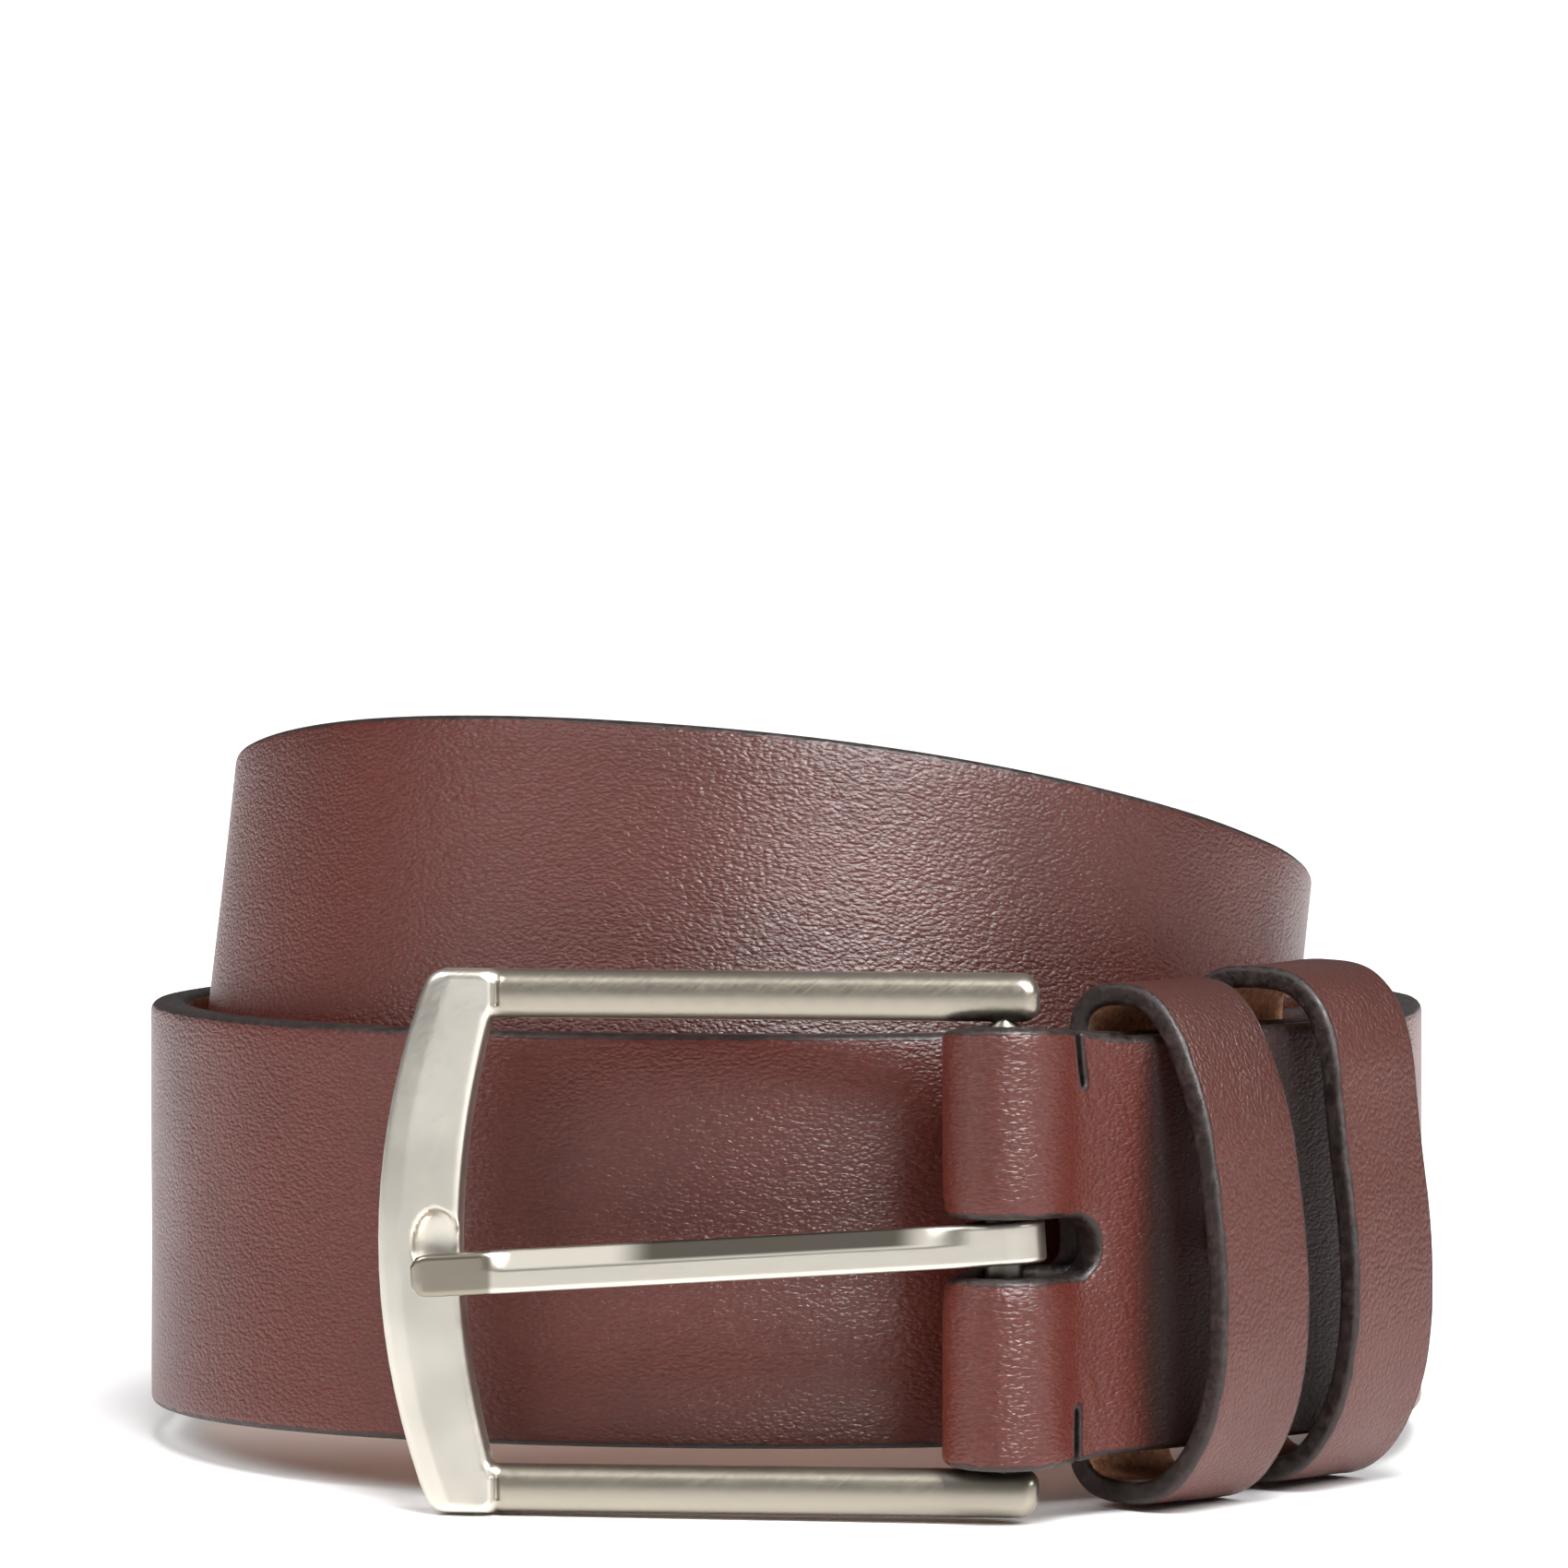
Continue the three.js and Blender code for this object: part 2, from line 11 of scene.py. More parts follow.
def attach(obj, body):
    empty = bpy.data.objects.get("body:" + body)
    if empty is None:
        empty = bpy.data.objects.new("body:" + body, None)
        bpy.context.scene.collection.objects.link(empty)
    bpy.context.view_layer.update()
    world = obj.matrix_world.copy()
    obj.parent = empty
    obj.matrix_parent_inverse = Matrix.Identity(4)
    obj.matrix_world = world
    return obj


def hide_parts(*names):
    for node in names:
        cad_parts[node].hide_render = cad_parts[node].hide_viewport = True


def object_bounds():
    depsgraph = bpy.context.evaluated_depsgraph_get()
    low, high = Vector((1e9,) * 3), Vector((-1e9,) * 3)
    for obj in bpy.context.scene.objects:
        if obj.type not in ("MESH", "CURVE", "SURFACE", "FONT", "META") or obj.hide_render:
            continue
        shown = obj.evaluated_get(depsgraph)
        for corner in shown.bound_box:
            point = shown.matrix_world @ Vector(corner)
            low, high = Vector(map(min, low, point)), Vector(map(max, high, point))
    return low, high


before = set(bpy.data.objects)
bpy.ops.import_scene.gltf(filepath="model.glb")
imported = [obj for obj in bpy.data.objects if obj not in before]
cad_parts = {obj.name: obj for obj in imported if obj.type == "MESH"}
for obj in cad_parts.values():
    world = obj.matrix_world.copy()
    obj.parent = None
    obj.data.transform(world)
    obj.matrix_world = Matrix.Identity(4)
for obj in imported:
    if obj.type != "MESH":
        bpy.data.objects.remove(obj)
cad_low, cad_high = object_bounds()

# ---- Dimensions in millimetres, before the belt is centred on its footprint ----

MM = 0.001
ORIGIN_SHIFT = np.array([0.251, 5.581, 0.0])

STRAP_WIDTH = 35.0
STRAP_THICKNESS = 3.3
MID_WIDTH = STRAP_WIDTH / 2
LAYER_PITCH = 3.65
TIP_TAPER = 26.0
TIP_WIDTH = 7.0
HOLE_RADIUS = 2.0
HOLE_COUNT = 5
HOLE_PITCH = 25.0
FIRST_HOLE = 95.0
STRAP_EDGE_RADIUS = 0.85
NOTCH_EDGE_RADIUS = 0.23
SLOT_EDGE_RADIUS = 0.75
HOLE_EDGE_RADIUS = 0.18
NOTCH_DEPTH = 4.4
NOTCH_HALF_WIDTH = 0.4
NOTCH_SLANT = 0.9

LEAN = math.radians(2.85)
COIL_BACK = 52.0
ROLL_TOP_CENTRE = (-0.6, 6.9, 53.0)
ROLL_TILT_BACK = math.radians(14.5)
ROLL_TILT_SIDE = math.radians(6.5)
RISE_FROM = 450.0
RISE_TO = 610.0
COIL_ANGLES = range(94, 1225, 10)
BACK_OF_FIRST_TURN = 200

# Plan positions on the level coil, and the stretch of the strap in which the fold lies
BAR_CENTRE = (18.0, -60.0, 17.8)
FOLD_FRONT = (18.0, -63.5)
SLOT_BACK_END = (23.4, -52.4)
SLOT_FRONT_END = (23.2, -57.8)
NOTCH = (22.9, -58.3)
FOLD_WITHIN = 90
FOLD_TO_SIDE = [
    (23.0, -58.3), (29.6, -52.3), (36.9, -43.5), (40.3, -38.9), (47.4, -28.9), (51.6, -18.0),
]
TAB_BEHIND_KEEPERS = [
    (50.4, -22.4), (47.4, -28.9), (40.3, -38.9), (36.9, -43.5), (29.6, -52.3),
]
TAB_HEADINGS = [65, 58, 54, 52, 48]
TAB_TO_BAR = (21.3, -54.2)
AROUND_BAR = [165, 200, 235, 270, 305, 335, 365, 395, 420]

# How far the strap spreads towards the rails at the bar and rises behind it, and over what length
FOLD_RISE = 1.35
FOLD_DROP = 0.9
FOLD_REACH = 16.0
FOLD_BACK_RISE = 0.7
FOLD_BACK_FROM = 6.5
FOLD_BACK_UNTIL = 26.0

# Centre line of the level coil and of the raised roll: angle from the front to the right, and radius
COIL_STATIONS = [
    (94, 53.3), (120, 52.6), (150, 51.2), (180, 50.35), (210, 51.1), (240, 52.9), (270, 53.85),
    (300, 53.3), (330, 51.5), (345, 50.7), (360, 50.35), (372, 50.6), (385, 49.5), (396, 46.7),
    (403, 45.4), (418, 44.6), (435, 46.2), (450, 47.9), (480, 48.3), (510, 47.2), (540, 46.3),
    (610, 46.9),
]
ROLL_STATIONS = [
    (450, 45.4), (540, 44.6), (600, 45.4), (630, 46.2), (650, 45.4), (680, 44.6), (700, 44.0),
    (720, 44.2), (738, 43.9), (758, 43.0), (780, 43.2), (800, 44.5), (815, 44.9), (850, 43.2),
    (900, 40.7), (990, 42.4), (1060, 40.5), (1080, 40.3), (1098, 40.0), (1118, 39.2), (1140, 39.3),
    (1160, 40.8), (1175, 41.0), (1200, 40.0), (1224, 38.4),
]

BUCKLE_YAW = math.radians(8)
BAR_RADIUS = 1.6
PIN_RADIUS = 0.8
CLEARANCE = 0.3
RAIL_OUTER = 22.9
RAIL_INNER = 18.8
RAIL_END = 2.9
END_CORNER = -48.6
END_MIDDLE = -53.0
INSIDE_CORNER = -43.4
INSIDE_MIDDLE = -46.0
BUCKLE_THICKNESS = 3.6
PIN_DEPTH = 2.1
STEP_AT = -43.3
BEVEL_WIDTH = 2.0
BEVEL_DEPTH = 0.5
GROOVE_HALF_WIDTH = 0.42
GROOVE_DEPTH = 0.5
RAIL_DROP = 0.3
RAIL_DOME = 0.45
SCOOP = (-47.9, -0.2)
SCOOP_HALF_WIDTH = 2.15
SCOOP_HALF_HEIGHT = 3.0
SCOOP_DEPTH = 0.95

PRONG_WIDTH = 3.6
PRONG_DROOP = math.radians(3.6)
PRONG_RING_OUTER = 3.5
PRONG_RING_FROM = -205
PRONG_LENGTH = 49.8
PRONG_RISE = 0.3
# How far out from the bar the prong's middle lies, and how thick it is, at distances along it
PRONG_MIDDLE = [
    (0, 2.75), (2.2, 3.0), (5.0, 3.06), (8.0, 3.12), (44.0, 3.475), (48.4, 3.5), (PRONG_LENGTH, 3.5),
]
PRONG_THICKNESS = [(0, 1.6), (8, 1.7), (44, 2.45), (PRONG_LENGTH, 2.35)]
SLOT_HALF_HEIGHT = 2.35

KEEPER_WIDTH = 12.0
KEEPER_THICKNESS = 1.95
KEEPER_EDGE_RADIUS = 0.55
KEEPER_BACK = -6.85
KEEPER_LOOP = [
    (KEEPER_BACK, 6), (KEEPER_BACK, 12), (KEEPER_BACK, 17.6), (-6.4, 19.4), (-5.0, 20.6),
    (-2.6, 21.0), (0.2, 20.5), (2.6, 18.4), (4.5, 14.8), (6.1, 10.4), (7.1, 5.6), (7.8, 0.3),
    (8.1, -4.9), (7.9, -9.3), (7.1, -13.4), (5.5, -17.0), (3.3, -19.6), (1.0, -20.8),
    (-2.4, -21.0), (-5.0, -20.5), (-6.4, -19.3), (KEEPER_BACK, -17.6), (KEEPER_BACK, -12),
    (KEEPER_BACK, -6),
]
KEEPER_JOINT_GAP = 0.35
LOOSE_KEEPER_SQUARENESS = 2.4
FIXED_KEEPER = {"point": (33.25, -48.1), "heading": 51.6, "rise": -0.12, "joint": 9.0}
SLIDING_KEEPER = {"point": (43.75, -34.15), "heading": 54.4, "rise": 0.6, "joint": 0.0}
STAPLE_WIRE = 0.35
STAPLE_SPAN = 3.0
STAPLE_LEG = 1.3

RIVET_SHANK = 1.0
RIVET_HEAD = 2.0
RIVET_HEAD_THICKNESS = 0.8
RIVET_HEAD_LIFT = 0.5
RIVET_CAP = 1.8
RIVET_SEAT_RADIUS = 0.12
RIVET_OFFSET = 3.6
CAP_SEAT = KEEPER_BACK - KEEPER_THICKNESS / 2 + RIVET_HEAD_THICKNESS
THREAD_RADIUS = 0.4
STITCH_PITCH = 5.2
STITCH_HEIGHTS = [k * STITCH_PITCH for k in (-2, -1, 0, 1, 2)]
STITCH_ROW = {"point": (49.25, -25.2), "heading": 64, "rise": 0.0}

FLOOR_GAP = 0.00005
FLOOR_HALF_WIDTH = 9.0
FLOOR_FRONT = -1.3
FLOOR_BACK = 14.0
SOFTBOX_DISTANCE = 1.1
SOFTBOX_AIM = (0, 0, 0.03)

CAMERA_ELEVATION = math.radians(6.38)
CAMERA_TILT_UP = math.radians(0.787)
CAMERA_DISTANCE = 1.7
CAMERA_AIM = (-0.0002, 0.0056, 0.033)
CAMERA_LENS = 449.7

# ---- Frames and ribbons ----


def lean_point(x, y, z):
    """A point of the level coil, leaned back about its rear foot."""
    dy = y - COIL_BACK
    leaned_y = dy * math.cos(LEAN) + z * math.sin(LEAN)
    leaned_z = -dy * math.sin(LEAN) + z * math.cos(LEAN)
    return np.array([x, leaned_y + COIL_BACK, leaned_z])


def lean_direction(x, y, z):
    return lean_point(x, y + COIL_BACK, z) - np.array([0.0, COIL_BACK, 0.0])


class Place:
    """A flat frame: origin and three axes, mapping (x, y, z) in millimetres to the belt's frame."""

    def __init__(self, origin, x_axis, y_axis, z_axis):
        self.origin = np.asarray(origin)
        self.axes = np.array([x_axis, y_axis, z_axis])

    def __call__(self, points):
        return self.origin + np.asarray(points, dtype=float) @ self.axes


def strap_place(point, heading, rise, **_):
    """A frame on the level coil: x along the strap, y up, z outwards."""
    a = math.radians(heading)
    origin = lean_point(point[0], point[1], MID_WIDTH + rise)
    along = lean_direction(math.cos(a), math.sin(a), 0)
    outwards = lean_direction(math.sin(a), -math.cos(a), 0)
    return Place(origin, along, lean_direction(0, 0, 1), outwards)


def buckle_place():
    origin = lean_point(*BAR_CENTRE)
    right = lean_direction(math.cos(BUCKLE_YAW), -math.sin(BUCKLE_YAW), 0)
    outwards = lean_direction(-math.sin(BUCKLE_YAW), -math.cos(BUCKLE_YAW), 0)
    return Place(origin, right, lean_direction(0, 0, 1), outwards)


def unit(vectors):
    return vectors / np.linalg.norm(vectors, axis=-1, keepdims=True)


def path_distances(points):
    """How far along a path each of its points is."""
    return np.concatenate([[0], np.cumsum(np.linalg.norm(np.diff(points, axis=0), axis=1))])


class Ribbon:
    """A strip's centre line, with its width direction and outward normal at any distance along it."""

    STEPS = 48

    def __init__(self, points, ups):
        points = np.asarray(points, dtype=float)
        ups = np.asarray(ups, dtype=float)
        ends = [2 * points[0] - points[1], 2 * points[-1] - points[-2]]
        padded = np.vstack([ends[0], points, ends[1]])
        centres, widths = [], []
        for i in range(len(points) - 1):
            t = np.linspace(0, 1, self.STEPS, endpoint=False)[:, None]
            centres.append(self.span(padded[i:i + 4], t))
            widths.append(ups[i] * (1 - t) + ups[i + 1] * t)
        self.centre = np.vstack([*centres, points[-1:]])
        up = np.vstack([*widths, ups[-1:]])
        self.distance = path_distances(self.centre)
        self.length = self.distance[-1]
        self.along = unit(np.gradient(self.centre, self.distance, axis=0))
        self.normal = unit(np.cross(self.along, up))
        self.up = np.cross(self.normal, self.along)

    @staticmethod
    def span(p, t):
        """One span of a centripetal Catmull-Rom curve."""
        dt = [max(1e-4, math.sqrt(np.linalg.norm(p[i + 1] - p[i]))) for i in range(3)]
        start = (p[1] - p[0]) / dt[0] - (p[2] - p[0]) / (dt[0] + dt[1]) + (p[2] - p[1]) / dt[1]
        end = (p[2] - p[1]) / dt[1] - (p[3] - p[1]) / (dt[1] + dt[2]) + (p[3] - p[2]) / dt[2]
        start, end = start * dt[1], end * dt[1]
        square = -3 * p[1] + 3 * p[2] - 2 * start - end
        cube = 2 * p[1] - 2 * p[2] + start + end
        return p[1] + start * t + square * t ** 2 + cube * t ** 3

    def sample(self, values, s):
        return np.stack([np.interp(s, self.distance, values[:, k]) for k in range(3)], axis=1)

    def __call__(self, points):
        """Maps (distance, across, height) to the belt's frame."""
        points = np.asarray(points, dtype=float)
        s = points[:, 0]
        up = unit(self.sample(self.up, s))
        normal = unit(self.sample(self.normal, s))
        return self.sample(self.centre, s) + up * points[:, 1:2] + normal * points[:, 2:3]

    def nearest(self, point, low=0.0, high=None):
        """Distance along the strip of its point nearest to a place, between two distances."""
        inside = (self.distance >= low) & (self.distance <= (high or self.length))
        gap = np.linalg.norm(self.centre - np.asarray(point), axis=1)
        return self.distance[np.argmin(np.where(inside, gap, 1e9))]


def value_at(table, place):
    """The value of a table of (place, value) pairs at any place between them."""
    places, values = zip(*table)
    return float(np.interp(place, places, values))


roll_up = np.array([
    math.sin(ROLL_TILT_SIDE) * math.cos(ROLL_TILT_BACK),
    math.sin(ROLL_TILT_BACK),
    math.cos(ROLL_TILT_SIDE) * math.cos(ROLL_TILT_BACK),
])
roll_right = unit(np.array([math.cos(ROLL_TILT_SIDE), 0.0, -math.sin(ROLL_TILT_SIDE)]))
roll_back = np.cross(roll_up, roll_right)
lean_up = lean_direction(0, 0, 1)


def coil_station(angle):
    """One station of the coil: the level coil blended into the tilted roll."""
    a = math.radians(angle)
    level = value_at(COIL_STATIONS, angle)
    low = lean_point(level * math.sin(a), -level * math.cos(a), MID_WIDTH)
    raised = value_at(ROLL_STATIONS, angle)
    high = (
        np.array(ROLL_TOP_CENTRE) - roll_up * MID_WIDTH
        + roll_right * (raised * math.sin(a)) - roll_back * (raised * math.cos(a))
    )
    t = min(1.0, max(0.0, (angle - RISE_FROM) / (RISE_TO - RISE_FROM)))
    share = t * t * (3 - 2 * t)
    return low + (high - low) * share, unit(lean_up + (roll_up - lean_up) * share)


def strap_ribbon():
    """The strap from its turned-back end, round the bar and the level coil, to the tip in the roll."""
    plan = []
    for (x, y), heading in zip(TAB_BEHIND_KEEPERS, TAB_HEADINGS):
        a = math.radians(heading)
        plan.append((x - LAYER_PITCH * math.sin(a), y + LAYER_PITCH * math.cos(a)))
    plan.append(TAB_TO_BAR)
    wrap = BAR_RADIUS + CLEARANCE + STRAP_THICKNESS / 2
    for degrees in AROUND_BAR:
        a = math.radians(degrees)
        plan.append((BAR_CENTRE[0] + wrap * math.sin(a), BAR_CENTRE[1] - wrap * math.cos(a)))
    plan += FOLD_TO_SIDE
    stations = [(lean_point(x, y, MID_WIDTH), lean_up) for x, y in plan]
    stations += [coil_station(angle) for angle in COIL_ANGLES]
    points, ups = zip(*stations)
    return Ribbon(points, ups)


# ---- Outlines ----


def rounded(corners, step):
    """A closed outline through (x, y, radius) corners, each rounded by its radius."""
    points = []
    sharp = np.array([corner[:2] for corner in corners], dtype=float)
    for i, (here, (_, _, radius)) in enumerate(zip(sharp, corners)):
        if radius <= 0:
            points.append(here)
            continue
        before = unit(sharp[i - 1] - here)
        after = unit(sharp[(i + 1) % len(sharp)] - here)
        half = math.acos(max(-1.0, min(1.0, float(before @ after)))) / 2
        reach = radius / math.tan(half)
        centre = here + unit(before + after) * radius / math.sin(half)
        first = here + before * reach - centre
        last = here + after * reach - centre
        turn = math.atan2(first[0] * last[1] - first[1] * last[0], float(first @ last))
        arcs = max(2, int(abs(turn) * radius / step))
        for k in range(arcs + 1):
            c, s = math.cos(turn * k / arcs), math.sin(turn * k / arcs)
            points.append(centre + np.array([c * first[0] - s * first[1], s * first[0] + c * first[1]]))
    return np.array(points)


def circle(x, y, radius, count):
    """A hole's outline, clockwise."""
    a = -2 * math.pi * np.arange(count) / count
    return np.stack([x + radius * np.cos(a), y + radius * np.sin(a)], axis=1)


def resampled(loop, step_at):
    """A closed outline with extra points, so that no stretch is longer than step_at says."""
    points = []
    for i, start in enumerate(loop):
        end = loop[(i + 1) % len(loop)]
        parts = max(1, math.ceil(np.linalg.norm(end - start) / step_at(*((start + end) / 2))))
        points += [start + (end - start) * k / parts for k in range(parts)]
    return np.array(points)


def left_normals(loop):
    """Unit vectors to the left of a closed outline, at each of its points."""
    ahead = unit(np.roll(loop, -1, axis=0) - loop)
    behind = unit(loop - np.roll(loop, 1, axis=0))
    tangent = unit(ahead + behind)
    left = np.stack([-tangent[:, 1], tangent[:, 0]], axis=1)
    bend = np.clip((ahead * tangent).sum(axis=1, keepdims=True), 0.4, 1)
    return left / bend


def within(loop, points):
    """Which points lie inside a closed outline."""
    x, y = points[:, 0], points[:, 1]
    inside = np.zeros(len(points), dtype=bool)
    for (ax, ay), (bx, by) in zip(loop, np.roll(loop, -1, axis=0)):
        if ay != by:
            inside ^= ((ay > y) != (by > y)) & (x < (bx - ax) * (y - ay) / (by - ay) + ax)
    return inside


# ---- Meshes ----


def in_scene(name, data):
    """A new object of the given data, in the scene."""
    added = bpy.data.objects.new(name, data)
    bpy.context.collection.objects.link(added)
    return added


def mesh_object(name, points, faces, sheet, rim=None):
    """A smooth-shaded object from points in millimetres, which remember their place in the flat sheet."""
    mesh = bpy.data.meshes.new(name)
    mesh.from_pydata(((points + ORIGIN_SHIFT) * MM).tolist(), [], faces)
    layer = mesh.attributes.new("sheet", "FLOAT_VECTOR", "POINT")
    layer.data.foreach_set("vector", np.asarray(sheet, dtype=np.float32).ravel())
    if rim is not None:
        layer = mesh.attributes.new("rim", "FLOAT", "POINT")
        layer.data.foreach_set("value", np.asarray(rim, dtype=np.float32))
    mesh.update()
    mesh.shade_smooth()
    return in_scene(name, mesh)


def edge_ring(loop, thickness, radius_of, steps):
    """The rounded edge along one outline: rows of (x, y, height) from the top face to the bottom face."""
    radius = np.array([radius_of(x, y) for x, y in loop])
    quarter = [math.pi / 2 * k / steps for k in range(steps + 1)]
    top = [(radius * (1 - math.sin(a)), thickness / 2 - radius * (1 - math.cos(a))) for a in quarter]
    middle = (np.zeros(len(loop)), np.zeros(len(loop)))
    bottom = [(inset, -height) for inset, height in reversed(top)]
    normals = left_normals(loop)
    rows = [np.column_stack([loop + normals * inset[:, None], h]) for inset, h in [*top, middle, *bottom]]
    return np.stack(rows, axis=1)


def search_tree(points):
    tree = KDTree(len(points))
    for i, point in enumerate(points):
        tree.insert((*point, 0), i)
    tree.balance()
    return tree


def fill_points(outlines, inside):
    """The points of inside that lie in no hole and keep their distance from every outline."""
    tree = search_tree(np.vstack(outlines))
    kept = np.array([point for point in inside if tree.find((point[0], point[1], 0))[2] > point[2]])
    for hole in outlines[1:]:
        kept = kept[~within(hole, kept)]
    return kept[:, :2]


def face_triangles(outlines, fill):
    """Triangles through the outlines' points and the fill points, inside the first outline and no hole."""
    flat = np.vstack([*outlines, fill])
    hole_of = np.full(len(flat), -1)
    edges = []
    first = 0
    for hole, outline in enumerate(outlines, -1):
        count = len(outline)
        edges += [(first + i, first + (i + 1) % count) for i in range(count)]
        hole_of[first:first + count] = hole
        first += count
    made = delaunay_2d_cdt([Vector(p) for p in flat], edges, [], 0, 1e-7, True)
    source = np.array([ids[0] for ids in made[3]])
    corners = source[np.array(made[2])]
    holes = hole_of[corners]
    across_hole = (holes[:, 0] >= 0) & (holes.min(axis=1) == holes.max(axis=1))
    inside_outline = within(outlines[0], flat[corners].mean(axis=1))
    return corners[inside_outline & ~across_hole].tolist()


def edge_faces(counts, row_count):
    """The quads between the rows of every rounded edge."""
    faces = []
    start = 0
    for count in counts:
        for i in range(count):
            here = start + i * row_count
            there = start + (i + 1) % count * row_count
            faces += [(here + k, here + k + 1, there + k + 1, there + k) for k in range(row_count - 1)]
        start += count * row_count
    return faces


def sheet_mesh(name, place, loops, thickness, radius_of, inside, edge_steps, relief):
    """A closed sheet: two faces filled between outlines, with rounded edges all round.

    loops are closed outlines with the material on their left; inside holds points for the faces;
    radius_of(x, y) is the edge's radius; relief(x, y, side) lifts a point, with side 1 on the top face.
    """
    rings = [edge_ring(loop, thickness, radius_of, edge_steps) for loop in loops]
    row_count = rings[0].shape[1]
    outlines = [ring[:, 0, :2] for ring in rings]
    fill = fill_points(outlines, inside)

    faces = edge_faces([len(loop) for loop in loops], row_count)
    edge_count = sum(len(loop) for loop in loops)
    tops = [i * row_count for i in range(edge_count)]
    bottoms = [top + row_count - 1 for top in tops]
    for k in range(len(fill)):
        tops.append(edge_count * row_count + 2 * k)
        bottoms.append(edge_count * row_count + 2 * k + 1)
    triangles = face_triangles(outlines, fill)
    faces += [tuple(tops[i] for i in face) for face in triangles]
    faces += [tuple(bottoms[i] for i in reversed(face)) for face in triangles]

    half = np.full(len(fill), thickness / 2)
    pairs = np.stack([np.column_stack([fill, half]), np.column_stack([fill, -half])], axis=1)
    sheet = np.vstack([*[ring.reshape(-1, 3) for ring in rings], pairs.reshape(-1, 3)])
    boundary = search_tree(np.vstack(loops))
    rim = [boundary.find((x, y, 0))[2] for x, y, _ in sheet]
    sides = np.clip(sheet[:, 2] / (thickness / 2), -1, 1)
    lifted = sheet.copy()
    lifted[:, 2] += [relief(x, y, side) for (x, y, _), side in zip(sheet, sides)]
    return mesh_object(name, place(lifted), faces, sheet, rim)


def tube_mesh(name, place, rings):
    """A skin over rings of equal length, with a face at each end."""
    rings = np.asarray(rings)
    count = rings.shape[1]
    faces = []
    for j in range(len(rings) - 1):
        for i in range(count):
            k = (i + 1) % count
            faces.append((j * count + i, j * count + k, (j + 1) * count + k, (j + 1) * count + i))
    last = (len(rings) - 1) * count
    faces.append(tuple(reversed(range(count))))
    faces.append(tuple(range(last, last + count)))
    points = rings.reshape(-1, 3)
    return mesh_object(name, place(points), faces, points)


def turned(name, place, profile, count):
    """A turned piece about the local z axis, from a closed profile of (radius, z) points."""
    rings = []
    for radius, z in profile:
        a = 2 * math.pi * np.arange(count) / count
        rings.append(np.stack([radius * np.cos(a), radius * np.sin(a), np.full(count, z)], axis=1))
    return tube_mesh(name, place, rings)


def wire(name, place, points, radius):
    """A round wire or thread along a path, as a curve with a round section."""
    curve = bpy.data.curves.new(name, "CURVE")
    curve.dimensions = "3D"
    curve.bevel_depth = radius * MM
    curve.bevel_resolution = 4
    curve.use_fill_caps = True
    spline = curve.splines.new("POLY")
    spline.points.add(len(points) - 1)
    for target, point in zip(spline.points, (place(points) + ORIGIN_SHIFT) * MM):
        target.co = (*point, 1)
    spline.use_smooth = True
    return in_scene(name, curve)


def smoothstep(low, high, value):
    t = min(1.0, max(0.0, (value - low) / (high - low)))
    return t * t * (3 - 2 * t)


def hump(centre, width, value):
    """1 at the centre, falling smoothly to 0 at the given distance from it."""
    t = min(1.0, abs(value - centre) / width)
    return (1 - t * t) ** 2


# ---- Materials ----


def srgb(r, g, b):
    """A colour given as 0 to 255 display values, as linear values."""
    linear = []
    for value in (r, g, b):
        v = value / 255
        linear.append(v / 12.92 if v <= 0.04045 else ((v + 0.055) / 1.055) ** 2.4)
    return (*linear, 1.0)


class Nodes:
    """Short calls that build one material's node tree."""

    def __init__(self, name):
        self.material = bpy.data.materials.new(name)
        self.material.use_nodes = True
        self.tree = self.material.node_tree
        self.shader = next(n for n in self.tree.nodes if n.type == "BSDF_PRINCIPLED")

    def set_input(self, socket, value):
        if isinstance(value, bpy.types.NodeSocket):
            self.tree.links.new(value, socket)
        else:
            socket.default_value = value

    def add(self, kind, settings=None, **inputs):
        """A new node. Inputs go by name, or as i0, i1 and so on by number."""
        node = self.tree.nodes.new("ShaderNode" + kind)
        for key, value in (settings or {}).items():
            setattr(node, key, value)
        for key, value in inputs.items():
            place = int(key[1:]) if key[1:].isdigit() else key.replace("_", " ")
            self.set_input(node.inputs[place], value)
        return node

    def math(self, operation, a, b):
        return self.add("Math", {"operation": operation}, i0=a, i1=b).outputs[0]

    def ramp(self, value, low, high, to_low=0.0, to_high=1.0):
        smooth = {"interpolation_type": "SMOOTHSTEP"}
        return self.add("MapRange", smooth, i0=value, i1=low, i2=high, i3=to_low, i4=to_high).outputs[0]

    def noise(self, vector, scale, detail=3.0, roughness=0.55, distortion=0.0):
        return self.add(
            "TexNoise", None, Vector=vector, Scale=scale, Detail=detail, Roughness=roughness,
            Distortion=distortion,
        ).outputs[0]

    def cells(self, feature, **inputs):
        return self.add("TexVoronoi", {"feature": feature}, **inputs).outputs["Distance"]

    def mix(self, factor, a, b):
        return self.add("Mix", {"data_type": "RGBA"}, i0=factor, i6=a, i7=b).outputs[2]

    def mix_value(self, factor, a, b):
        return self.add("Mix", {"data_type": "FLOAT"}, i0=factor, i2=a, i3=b).outputs[0]

    def stretched(self, vector, scale):
        return self.add("VectorMath", {"operation": "MULTIPLY"}, i0=vector, i1=scale).outputs[0]

    def split(self, vector):
        return self.add("SeparateXYZ", None, Vector=vector).outputs

    def millimetres(self):
        """Object coordinates in millimetres."""
        return self.stretched(self.add("TexCoord").outputs["Object"], (1000, 1000, 1000))

    def attribute(self, name, output):
        return self.add("Attribute", {"attribute_name": name}).outputs[output]

    def bump(self, height, distance, strength):
        return self.add("Bump", None, Height=height, Distance=distance, Strength=strength).outputs[0]

    def surface(self, **inputs):
        for key, value in inputs.items():
            self.set_input(self.shader.inputs[key.replace("_", " ")], value)
        return self.material


